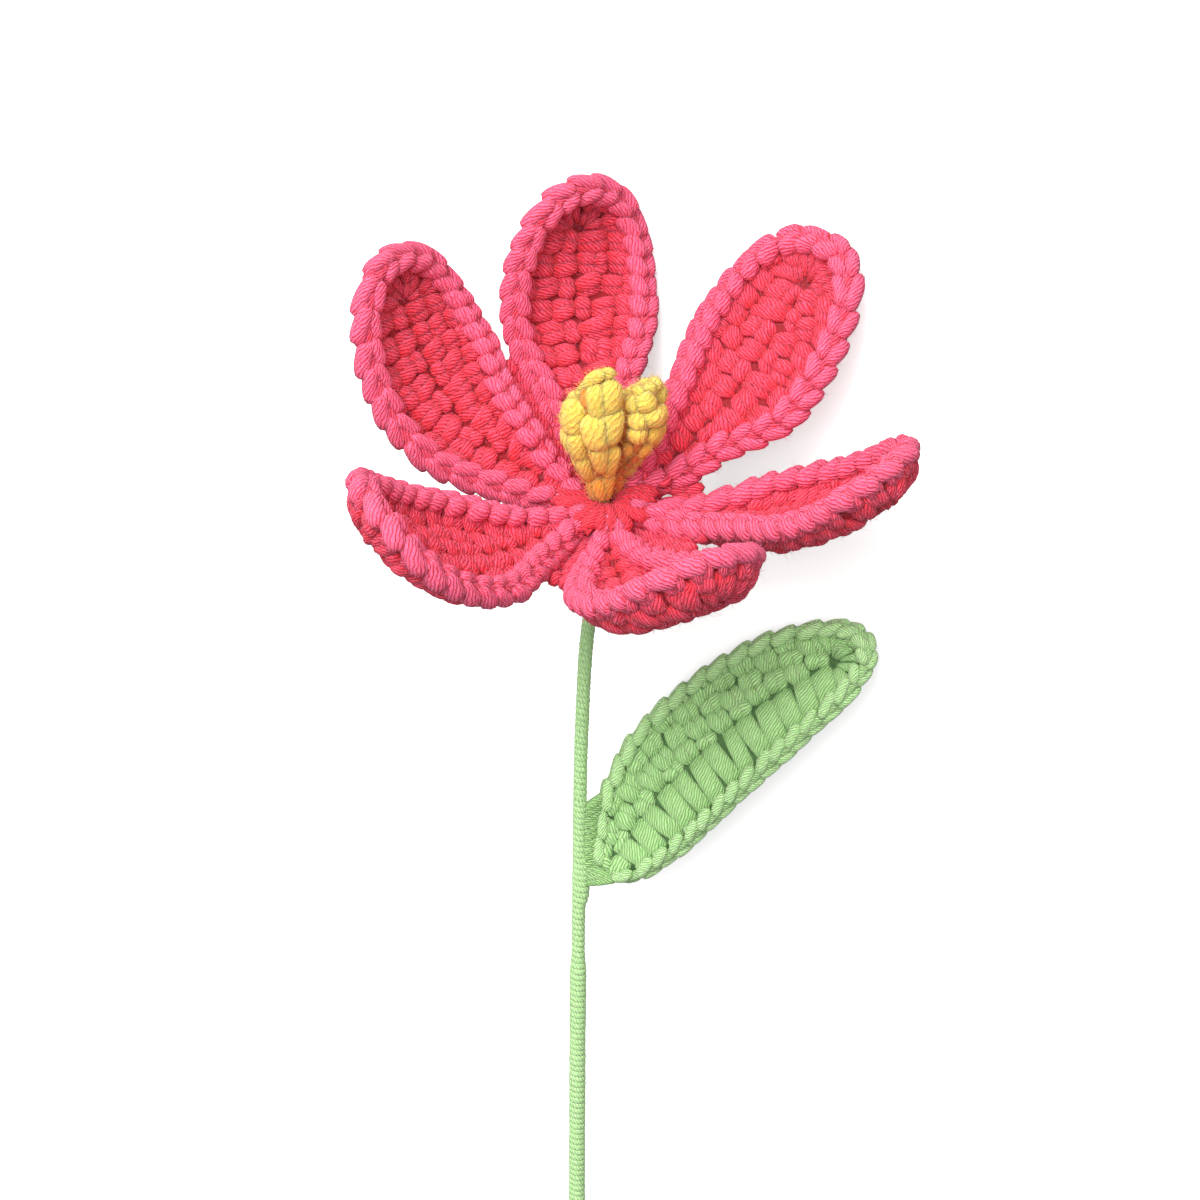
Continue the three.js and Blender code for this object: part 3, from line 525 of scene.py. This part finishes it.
def yarn_material(name, light, middle, dark, plies, slant, fuzz, depth, sheen, sheen_tint, glow,
                  lines=0.7, soft=0.35):
    """Yarn whose colour is painted from light on the surface to dark between the strands, as painted shade.
    lines is how dark the painted shade in the grooves between plies is, and glow how far each colour of
    light goes in, in metres."""
    material = bpy.data.materials.new(name)
    material.use_nodes = True
    nodes, links = material.node_tree.nodes, material.node_tree.links
    shader = nodes["Principled BSDF"]
    group = nodes.new("ShaderNodeGroup")
    group.node_tree = plied
    group.inputs["Plies"].default_value = plies
    group.inputs["Slant"].default_value = slant
    group.inputs["Fuzz"].default_value = fuzz
    # Painted shade: each point's shade value, dark between strands where shade falls.
    shade = nodes.new("ShaderNodeAttribute")
    shade.attribute_name = "painted_shade"
    # Painted shade in the grooves between plies.
    painted_groove_shade = nodes.new("ShaderNodeMath")
    painted_groove_shade.operation = "MULTIPLY_ADD"
    painted_groove_shade.inputs[1].default_value = -lines
    painted_groove_shade.inputs[2].default_value = 0.77 * lines
    links.new(group.outputs["Ply"], painted_groove_shade.inputs[0])
    streaks = nodes.new("ShaderNodeMath")
    streaks.operation = "MULTIPLY_ADD"
    streaks.inputs[1].default_value = -0.7
    streaks.inputs[2].default_value = 0.35
    links.new(group.outputs["Fibre"], streaks.inputs[0])
    lined = nodes.new("ShaderNodeMath")
    lined.operation = "ADD"
    links.new(painted_groove_shade.outputs[0], lined.inputs[0])
    links.new(streaks.outputs[0], lined.inputs[1])
    painted_shade_total = nodes.new("ShaderNodeMath")
    painted_shade_total.operation = "ADD"
    links.new(shade.outputs["Fac"], painted_shade_total.inputs[0])
    links.new(lined.outputs[0], painted_shade_total.inputs[1])
    # The ramp paints shade: light is the lit colour, middle and dark are the shaded ones.
    ramp = nodes.new("ShaderNodeValToRGB")
    ramp.color_ramp.elements[0].position = 0.0
    ramp.color_ramp.elements[0].color = (*light, 1)
    ramp.color_ramp.elements[1].position = 1.0
    ramp.color_ramp.elements[1].color = (*dark, 1)
    ramp.color_ramp.elements.new(0.42).color = (*middle, 1)
    links.new(painted_shade_total.outputs[0], ramp.inputs["Fac"])
    vary = nodes.new("ShaderNodeMix")
    vary.data_type = "RGBA"
    vary.blend_type = "MULTIPLY"
    vary.inputs["Factor"].default_value = 0.35
    links.new(ramp.outputs["Color"], vary.inputs["A"])
    links.new(group.outputs["Fibre"], vary.inputs["B"])
    brighten = nodes.new("ShaderNodeMix")
    brighten.data_type = "RGBA"
    brighten.blend_type = "MULTIPLY"
    brighten.inputs["Factor"].default_value = 1.0
    brighten.inputs["B"].default_value = (1.18, 1.18, 1.18, 1)
    links.new(vary.outputs["Result"], brighten.inputs["A"])
    links.new(brighten.outputs["Result"], shader.inputs["Base Color"])
    relief = nodes.new("ShaderNodeBump")
    relief.inputs["Strength"].default_value = 1.0
    relief.inputs["Distance"].default_value = depth
    links.new(group.outputs["Height"], relief.inputs["Height"])
    links.new(relief.outputs["Normal"], shader.inputs["Normal"])
    shader.inputs["Roughness"].default_value = 0.85
    shader.inputs["Specular IOR Level"].default_value = 0.2
    shader.inputs["Sheen Weight"].default_value = sheen
    shader.inputs["Sheen Roughness"].default_value = 0.45
    shader.inputs["Subsurface Weight"].default_value = soft
    shader.inputs["Subsurface Radius"].default_value = [reach / max(glow) for reach in glow]
    shader.inputs["Subsurface Scale"].default_value = max(glow)
    shader.inputs["Sheen Tint"].default_value = (*sheen_tint, 1)
    return material


petal_yarn = yarn_material(
    "petal_yarn", light=(0.97, 0.14, 0.265), middle=(0.86, 0.04, 0.064), dark=(0.5, 0.01, 0.014),
    plies=13, slant=0.8, fuzz=0.5, depth=0.0006, sheen=0.15, sheen_tint=(1.0, 0.5, 0.62),
    glow=(0.0016, 0.0003, 0.0004))
spins = [math.radians(pose["azimuth"]) for pose in petal_poses]
petal_fabrics = []
for number, pose in enumerate(petal_poses, 1):
    spin = spins[number - 1]
    before = (spin - spins[number - 2]) % (2 * math.pi) / 2
    after = (spins[number % 6] - spin) % (2 * math.pi) / 2
    start = np.array([math.sin(spin), math.cos(spin), 0]) * petal_start
    petal_fabrics.append(lay_fabric(petal_pattern, pose, start, (spin, before, after)))


shoulder_steps, shoulder_spacing, shoulder_slant = 12, 0.55, 0.95
shoulder_inset, shoulder_lift, shoulder_strand = 3.2, -1.3, 2.6


def shoulder(strands, fabric, neighbour, widest, seed):
    """Works the stitches at a petal's foot that close the gap to the petal beside it."""
    chance = np.random.default_rng(seed)
    total = fabric["total"]
    travel = np.linspace(0, 1, 8)
    bulge = np.sin(travel * math.pi)
    for step in range(shoulder_steps):
        count = 0.1 + step * shoulder_spacing + shoulder_slant * travel
        mine = on_fabric(fabric, total - count, shoulder_inset, shoulder_lift)[0]
        theirs = on_fabric(neighbour, count, shoulder_inset, shoulder_lift)[0]
        width = np.linalg.norm(mine - theirs, axis=1)
        if width.max() > widest:
            break
        lanes = max(1, round(width.mean() / shoulder_strand))
        for lane in range(lanes):
            share = (lane + 0.5 + chance.uniform(-0.15, 0.15)) / lanes
            path = mix(mine, theirs, share)
            sag = 4 * share * (1 - share) * 0.12 * width + 0.6
            path[:, 2] -= sag + chance.uniform(-0.3, 0.3) - 0.8 * bulge
            off = np.repeat(np.array([[0, 0, 1.0]]), len(path), axis=0)
            # Painted shade: each strand is darker at its ends, between the petals.
            strands.lay(path, off, np.maximum(width / lanes, 1.6) * 0.62, 1.5, 0.55 - 0.2 * bulge,
                        shift=chance.uniform(0, 1))


plain_gap, wide_gap, widely_spread = 10.5, 15, (1, 4)
hub_radius = np.array([12.5, 9.5, 7.0, 5.2, 3.6, 2.2, 0.8])
hub_height = np.array([-0.2, 0.2, 0.3, 0.2, -0.1, -0.9, -1.8])
hub_spread = np.minimum(hub_radius, 8)
for number, fabric in enumerate(petal_fabrics, 1):
    spin = spins[number - 1]
    strands = crochet(fabric, seed=number)
    widest_gap = wide_gap if number in widely_spread else plain_gap
    shoulder(strands, fabric, petal_fabrics[number % 6], widest_gap, seed=40 + number)
    chance = np.random.default_rng(60 + number)
    aside = np.array([math.cos(spin), -math.sin(spin), 0])
    outward = np.array([math.sin(spin), math.cos(spin), 0])
    upward = np.array([0, 0, 1.0])
    for lane in (-1.5, -0.5, 0.5, 1.5):
        height = hub_height + 1.3 + chance.uniform(-0.3, 0.3)
        path = outward * hub_radius[:, None] + aside * (lane * 0.36 * hub_spread)[:, None]
        path = path + upward * height[:, None]
        off = np.repeat(upward[None], len(path), axis=0) + outward * 0.3
        # The hub strands are painted in half shade.
        strands.lay(path, off, 0.2 * hub_spread + 0.2, 1.5, 0.5, round_ends=1.0)
    strands.fluff(count=3000, long=2.4, thin=0.05, seed=80 + number)
    petal = strands.mesh(f"petal_{number}_yarn", head_turn)
    core = core_of(fabric, f"petal_{number}_core", head_turn)
    for piece in (petal, core):
        piece.data.materials.append(petal_yarn)
        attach(piece, "root")
        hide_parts(f"petal_{number}")

# Leaf. It is made as the petals are, from thinner plied cotton with more stitches, and is only
# dished a little.
leaf_pattern = {
    "length": 91, "width": 32, "base_width": 5.2, "widest": 36, "chain_short": 12,
    "side_stitches": 14, "tip_stitches": 6, "rim_rise": 6, "relief_rise": 2.5,
    "base_rim": 0.35, "left_flare": 0.77, "right_flare": 0.38, "tip_shape": 2.3, "yarn": 0.85,
}
leaf_pose = {"azimuth": 90, "lean": 62, "roll": -60, "curl": (-5, -9), "sway": 35.5, "twist": 21,
             "walls": (48, 34), "rim": 6.5}
leaf_start = (0.2, 9.3, -96.05)
leaf_fabric = lay_fabric(leaf_pattern, leaf_pose, leaf_start)
leaf_yarn = yarn_material(
    "leaf_yarn", light=(0.56, 0.86, 0.4), middle=(0.38, 0.65, 0.25), dark=(0.09, 0.24, 0.06),
    plies=12, slant=1.3, fuzz=0.3, depth=0.0005, lines=0.5, sheen=0.1, sheen_tint=(0.9, 1.0, 0.8),
    glow=(0.0004, 0.0007, 0.0003))
leaf_strands = crochet(leaf_fabric, seed=11, tier=4.6, rope=1.75, plain_half=True)
chance = np.random.default_rng(17)
travel = np.linspace(0, 1, 8)[:, None]
tie_off = np.repeat(np.array([[0.0, -1.0, 0.2]]), len(travel), axis=0)
edge_ties, edge_tie_spacing, base_ties, base_tie_rise = 11, 0.26, 3, 0.9


def tie_to_stem(edge, height, rise):
    """Works one stitch from the stem, at a height, to a place on the leaf."""
    path = mix(np.array([-5.2, 9.0, height]), edge, travel)
    path = path + np.array([0, -0.7, rise]) * np.sin(travel * math.pi)
    leaf_strands.lay(path, tie_off, 1.25, 1.1, 0.45, shift=chance.uniform(0, 1), round_ends=1.2)


for tie in range(edge_ties):
    near_edge = on_fabric(leaf_fabric, 0.05 + edge_tie_spacing * tie, 1.6, 0)[0]
    tie_to_stem(near_edge, near_edge[2] - 2.5, 0.4)
base_right, base_left = np.array([3.4, 7.1, -97.6]), np.array([-1.0, 10.2, -95.2])
for tie in range(base_ties):
    tie_to_stem(mix(base_right, base_left, tie / base_ties), -99.6 + base_tie_rise * tie, 0)
leaf_strands.fluff(count=500, long=1.4, thin=0.025, seed=91)
leaf = leaf_strands.mesh("leaf_yarn_piece")
leaf_core = core_of(leaf_fabric, "leaf_core")
for piece in (leaf, leaf_core):
    piece.data.materials.append(leaf_yarn)
    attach(piece, "root")
    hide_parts("leaf")

# Stem. A strand of the leaf's green yarn is wound in close turns round the stem wire, over the
# twisted ends of the petal wires in the neck and the leaf's two wire ends, and doubled lower down.
neck_top, neck_bottom, neck_taper = 3.4, 15.4, 8
leaf_joint_drop, wrap_step_drop = 96, 118
head_axis = np.array([0, -math.sin(head_tilt), math.cos(head_tilt)])
stem_stops = np.array([
    head_axis * 0, -head_axis * neck_bottom / 2, -head_axis * neck_bottom, (-3.7, 8.7, -32),
    (-5.5, 9.4, -60), (-6.2, 9.3, -leaf_joint_drop), (-6.9, 9.2, -165), stem_end])


def smooth_line(stops, steps=60):
    """A smooth line through a few stops, with the same spacing rule as the CAD's."""
    stops = np.vstack([2 * stops[0] - stops[1], stops, 2 * stops[-1] - stops[-2]])
    line = []
    for first in range(len(stops) - 3):
        a, b, c, d = stops[first:first + 4]
        before, here, after = (math.sqrt(np.linalg.norm(q - p)) for p, q in ((a, b), (b, c), (c, d)))
        leaving = ((b - a) / before - (c - a) / (before + here) + (c - b) / here) * here
        coming = ((c - b) / here - (d - b) / (here + after) + (d - c) / after) * here
        share = np.linspace(0, 1, steps, endpoint=False)[:, None]
        line.append(b + leaving * share + (3 * (c - b) - 2 * leaving - coming) * share ** 2
                    + (2 * (b - c) + leaving + coming) * share ** 3)
    return np.vstack([*line, stops[-2:-1]])


stem_line = smooth_line(stem_stops)
stem_run = np.concatenate([[0], np.cumsum(np.linalg.norm(np.diff(stem_line, axis=0), axis=1))])
stem_tangent = np.gradient(stem_line, axis=0)
stem_tangent /= np.linalg.norm(stem_tangent, axis=1)[:, None]


def beside_stem(distance, angle, radius):
    """Places round the stem, with the way straight out from it."""
    place = np.stack([np.interp(distance, stem_run, stem_line[:, axis]) for axis in range(3)], 1)
    tangent = np.stack([np.interp(distance, stem_run, stem_tangent[:, axis]) for axis in range(3)], 1)
    side = np.array([1.0, 0, 0]) - tangent * tangent[:, :1]
    side /= np.linalg.norm(side, axis=1)[:, None]
    front = np.cross(side, tangent)
    way = side * np.cos(angle)[:, None] + front * np.sin(angle)[:, None]
    return place + way * np.reshape(radius, (-1, 1)), way


def run_at_drop(drop):
    """The length of stem from the head's middle to a height below it."""
    return float(np.interp(drop, -stem_line[:, 2], stem_run))


joint_run, step_run = run_at_drop(leaf_joint_drop), run_at_drop(wrap_step_drop)
plain_radius, doubled_radius, neck_radius, joint_swelling = 1.72, 2.12, 3.75, 0.95


def wrap_radius(distance, angle):
    """How thick the winding is: wide at the neck, swollen at the leaf, stepped up lower down."""
    neck = 1 - ease((distance - neck_bottom) / neck_taper)
    lower = ease((distance - step_run) / 6)
    swell = 1 - ease((np.abs(distance - joint_run - 3.5) - 3.5) / 4)
    return (mix(mix(plain_radius, doubled_radius, lower), neck_radius, neck)
            + joint_swelling * swell * np.maximum(0, np.cos(angle)) ** 1.5)


turn_width = 1.5
wound = np.arange(neck_top + 0.4, stem_run[-1] - 0.3, turn_width / 16)
wound_angle = wound / turn_width * 2 * math.pi
chance = np.random.default_rng(5)
lumps = np.arange(0, 260, 1.1)
unevenness = np.interp(wound, lumps, chance.uniform(-0.07, 0.07, len(lumps)))
half_tall = 0.42
path, off = beside_stem(wound, wound_angle, wrap_radius(wound, wound_angle) - half_tall + unevenness)
winding_yarn = Yarn()
winding_yarn.lay(path, off, turn_width * 0.62, half_tall, 0.12, sides=8)
stem_winding = winding_yarn.mesh("stem_winding")
core_yarn = Yarn()
core_run = np.linspace(neck_top + 0.2, stem_run[-1] - 0.5, 130)
path, off = beside_stem(core_run, core_run * 0, 0)
core_radius = wrap_radius(core_run, core_run * 0 + math.pi) - 0.5
# Painted shade: the core under the winding is painted dark, as shade between the turns.
core_yarn.lay(path, off, core_radius, core_radius, 0.9, sides=16, round_ends=0.6)
stem_core = core_yarn.mesh("stem_winding_core")
stem_yarn = yarn_material(
    "stem_yarn", light=(0.5, 0.76, 0.36), middle=(0.36, 0.6, 0.26), dark=(0.14, 0.3, 0.1),
    plies=5, slant=1.5, fuzz=0.4, depth=0.0002, sheen=0.1, sheen_tint=(0.9, 1.0, 0.8),
    glow=(0.0003, 0.0005, 0.0002))
for piece in (stem_winding, stem_core):
    piece.data.materials.append(stem_yarn)
    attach(piece, "root")
    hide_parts("stem_wrap")

# Stamen. A strip of fluffy yellow yarn is crocheted in rows of plump stitches and rolled into a
# loose scroll, narrow at its foot, which is sewn into the middle of the petals.
coil_stops = np.array([
    (2.2, -4.8), (-2.6, -6), (-6.2, -3), (-6.4, 2.2), (-2.6, 5.6), (3.4, 5.8), (8.6, 3.8),
    (10.8, -0.2), (8.8, -3.6), (6.0, -1.6)], float)
top_stops = np.array([
    (0, 33.5), (0.1, 33.5), (0.2, 28), (0.35, 23), (0.5, 21), (0.65, 24), (0.8, 28.5), (1, 28)])
stamen_rise, stamen_lean = Matrix.Translation((0, 0, 1.3)), Matrix.Rotation(math.radians(-12), 4, "X")
stamen_turn = head_turn @ stamen_rise @ stamen_lean


def even_line(stops, steps=60):
    """A smooth line through evenly weighted stops."""
    stops = np.vstack([stops[:1], stops, stops[-1:]])
    line = []
    for first in range(len(stops) - 3):
        a, b, c, d = stops[first:first + 4]
        share = np.linspace(0, 1, steps, endpoint=False)[:, None]
        line.append(0.5 * (2 * b + (c - a) * share + (2 * a - 5 * b + 4 * c - d) * share ** 2
                           + (3 * b - a - 3 * c + d) * share ** 3))
    return np.vstack([*line, stops[-2:-1]])


coil_line, top_line = even_line(coil_stops), even_line(top_stops)
coil_run = np.concatenate([[0], np.cumsum(np.linalg.norm(np.diff(coil_line, axis=0), axis=1))])
coil_way = np.gradient(coil_line, axis=0)
coil_way /= np.linalg.norm(coil_way, axis=1)[:, None]


def on_stamen(share, level, offset):
    """Places on the rolled strip, by the share of its length, the share of its height and the
    offset from its middle, with the way off it."""
    share, level, offset = np.broadcast_arrays(share, level, offset)
    run = np.clip(share, 0, 1) * coil_run[-1]
    place = np.stack([np.interp(run, coil_run, coil_line[:, axis]) for axis in (0, 1)], -1)
    way = np.stack([np.interp(run, coil_run, coil_way[:, axis]) for axis in (0, 1)], -1)
    top = np.interp(share, top_line[:, 0], top_line[:, 1])
    bottom = top * 0.42 * ease((share - 0.7) / 0.15)
    height = mix(bottom, top, level)
    spread = mix(0.34, 1, ease(height / 20))
    off = np.stack([-way[..., 1], way[..., 0], np.zeros_like(run)], -1)
    flat = np.stack([place[..., 0] * spread, place[..., 1] * spread, height], -1)
    return flat + off * (offset * spread)[..., None], off


stamen_strands = Yarn()
chance = np.random.default_rng(21)
stitches, rows, tuft = 7, 4, 3.0
travel = np.linspace(0, 1, 10)
for row in range(rows):
    for stitch in range(stitches):
        for side in (-1, 1):
            for leg in (-1, 1):
                sideways = leg * mix(0.1, 0.3, travel) + chance.uniform(-0.14, 0.14)
                share = (stitch + 0.5 + sideways) / stitches
                level = (row + mix(-0.2, 1.0, travel) + chance.uniform(-0.2, 0.2)) / rows
                bulge = side * (0.75 + 0.5 * np.sin(travel * math.pi) + chance.uniform(-0.3, 0.3))
                path, off = on_stamen(share, np.clip(level, 0.02, 0.97), bulge)
                spread = mix(0.5, 1, ease(np.clip(level, 0, 1) * 1.4))
                size = tuft * spread * chance.uniform(0.85, 1.2)
                # Painted shade: lighter on each stitch's crest, darker towards the foot where the petals
                # shade it, and darker still on the inside of the roll.
                painted_shade = 0.15 - 0.2 * np.sin(travel * math.pi) + 0.75 * (1 - ease(level * 1.7))
                painted_shade = painted_shade + (0.75 if side < 0 else 0)
                stamen_strands.lay(path, off, size, size * 0.8, painted_shade, shift=chance.uniform(0, 1),
                                   round_ends=3.2)
for stitch in range(stitches * 2):
    share = (stitch + mix(-0.3, 1.1, travel)) / (stitches * 2)
    path, off = on_stamen(np.clip(share, 0.01, 0.99), 1.0, 0.5 * math.sin(stitch * 2.4))
    path[:, 2] += 0.5 * np.sin(travel * math.pi) - 0.6
    # The top chain is painted at the light, lit end of the painted shade.
    stamen_strands.lay(path, off, 1.6, 1.5, 0.02, shift=chance.uniform(0, 1))
stamen_strands.fluff(count=11000, long=1.7, thin=0.04, seed=95)
stamen = stamen_strands.mesh("stamen_strands", stamen_turn)
stamen_yarn = yarn_material(
    "stamen_yarn", light=(1.0, 0.72, 0.14), middle=(1.0, 0.46, 0.06), dark=(1.0, 0.18, 0.03),
    plies=11, slant=0.5, fuzz=1.3, lines=0.25, depth=0.0006, soft=0.6, sheen=0.35,
    sheen_tint=(1.0, 0.9, 0.5), glow=(0.002, 0.0014, 0.0003))
stamen.data.materials.append(stamen_yarn)
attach(stamen, "root")
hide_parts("stamen")

# Wires. Thin bright craft wire runs in the notch of each rim, with thicker wire down the middle of
# the stem. They are the CAD's own solids, with a finish of drawn steel.
wire_steel = bpy.data.materials.new("wire_steel")
wire_steel.use_nodes = True
steel_nodes, steel_links = wire_steel.node_tree.nodes, wire_steel.node_tree.links
steel = steel_nodes["Principled BSDF"]
steel.inputs["Metallic"].default_value = 1.0
steel.inputs["Base Color"].default_value = (0.62, 0.62, 0.64, 1)
drawn_at = steel_nodes.new("ShaderNodeTexCoord")
drawn = steel_nodes.new("ShaderNodeTexNoise")
drawn.inputs["Scale"].default_value = 900
steel_links.new(drawn_at.outputs["Object"], drawn.inputs["Vector"])
drawn_range = steel_nodes.new("ShaderNodeMapRange")
drawn_range.inputs["To Min"].default_value = 0.22
drawn_range.inputs["To Max"].default_value = 0.42
steel_links.new(drawn.outputs["Fac"], drawn_range.inputs["Value"])
steel_links.new(drawn_range.outputs["Result"], steel.inputs["Roughness"])
for name, wire in frame["nodes"].items():
    if "wire" in name:
        wire.data.materials.clear()
        wire.data.materials.append(wire_steel)

# Floor and light. A pale plain table top, with soft daylight, a broad lamp over the flower's head
# and a weaker one at its front.
bpy.ops.mesh.primitive_plane_add(size=6, location=(0, 0, 0))
floor = bpy.context.object
floor.name = "floor"
floor_paint = bpy.data.materials.new("floor_paint")
floor_paint.use_nodes = True
paint_nodes, paint_links = floor_paint.node_tree.nodes, floor_paint.node_tree.links
paint = paint_nodes["Principled BSDF"]
paint.inputs["Roughness"].default_value = 0.9
paint.inputs["Specular IOR Level"].default_value = 0.0
seen = paint_nodes.new("ShaderNodeLightPath")
seen_or_mirrored = paint_nodes.new("ShaderNodeMath")
seen_or_mirrored.operation = "MAXIMUM"
paint_links.new(seen.outputs["Is Camera Ray"], seen_or_mirrored.inputs[0])
paint_links.new(seen.outputs["Is Glossy Ray"], seen_or_mirrored.inputs[1])
tone = paint_nodes.new("ShaderNodeMix")
tone.data_type = "RGBA"
tone.inputs["A"].default_value = (0.2, 0.2, 0.2, 1)
tone.inputs["B"].default_value = (0.98, 0.98, 0.98, 1)
paint_links.new(seen_or_mirrored.outputs[0], tone.inputs["Factor"])
paint_links.new(tone.outputs["Result"], paint.inputs["Base Color"])
glow = paint_nodes.new("ShaderNodeMath")
glow.operation = "MULTIPLY"
glow.inputs[1].default_value = 0.4
paint_links.new(seen_or_mirrored.outputs[0], glow.inputs[0])
paint_links.new(glow.outputs[0], paint.inputs["Emission Strength"])
paint.inputs["Emission Color"].default_value = (1, 1, 1, 1)
floor.data.materials.append(floor_paint)

world = bpy.context.scene.world or bpy.data.worlds.new("room")
bpy.context.scene.world = world
world.use_nodes = True
sky_nodes, sky_links = world.node_tree.nodes, world.node_tree.links
sky_nodes["Background"].inputs["Color"].default_value = (1, 1, 1, 1)
looking = sky_nodes.new("ShaderNodeTexCoord")
towards_window = sky_nodes.new("ShaderNodeVectorMath")
towards_window.operation = "DOT_PRODUCT"
towards_window.inputs[1].default_value = laid_down.to_3x3() @ Vector((-0.2, -0.4, 0.9))
sky_links.new(looking.outputs["Generated"], towards_window.inputs[0])
window_light = sky_nodes.new("ShaderNodeMapRange")
window_light.inputs["From Min"].default_value = -0.7
window_light.inputs["From Max"].default_value = 1.0
window_light.inputs["To Min"].default_value = 0.0
window_light.inputs["To Max"].default_value = 1.0
sky_links.new(towards_window.outputs["Value"], window_light.inputs["Value"])
seen_sky = sky_nodes.new("ShaderNodeLightPath")
sky_strength = window_light.outputs["Result"]
for ray in ("Is Camera Ray", "Is Glossy Ray", "Is Transmission Ray"):
    whiten = sky_nodes.new("ShaderNodeMath")
    whiten.operation = "MAXIMUM"
    sky_links.new(sky_strength, whiten.inputs[0])
    sky_links.new(seen_sky.outputs[ray], whiten.inputs[1])
    sky_strength = whiten.outputs[0]
sky_links.new(sky_strength, sky_nodes["Background"].inputs["Strength"])


def soft_lamp(name, place, size, power):
    """A lamp placed in millimetres round the flower as it was photographed, aimed at its head."""
    bpy.ops.object.light_add(type="AREA")
    lamp = bpy.context.object
    lamp.name = name
    lamp.data.size = size
    lamp.data.energy = power
    lamp.location = laid_down @ Vector(place) * millimetre
    aim = laid_down @ Vector((0, 0, -30)) * millimetre
    lamp.rotation_euler = (aim - lamp.location).to_track_quat("-Z", "Y").to_euler()


soft_lamp("lamp_over_head", (-350, -650, 740), size=0.7, power=12)
soft_lamp("lamp_in_front", (-120, -980, 420), size=0.8, power=6)

# Camera, where the photograph was taken from: in front of the flower and 20 degrees above it, with
# the middle of the head at its own pixel of the picture.
look_down = math.radians(20)
hub_distance, pixels_per_millimetre = 600.0, 4.4
picture_width, hub_pixel = 1200, (605, 503)
right = Vector((1, 0, 0))
ahead = Vector((0, math.cos(look_down), -math.sin(look_down)))
above = Vector((0, math.sin(look_down), math.cos(look_down)))
hub_right = (hub_pixel[0] - picture_width / 2) / pixels_per_millimetre
hub_above = (picture_width / 2 - hub_pixel[1]) / pixels_per_millimetre
eye = -(right * hub_right + above * hub_above + ahead * hub_distance)
bpy.ops.object.camera_add()
camera = bpy.context.object
basis = Matrix((right, above, -ahead)).transposed().to_4x4()
placed = laid_down @ Matrix.Translation(eye) @ basis
placed.translation *= millimetre
camera.matrix_world = placed
camera.data.sensor_width = 36
camera.data.lens = camera.data.sensor_width * pixels_per_millimetre * hub_distance / picture_width
camera.data.clip_start = 0.01
bpy.context.scene.camera = camera
bpy.context.scene.view_settings.view_transform = "Standard"
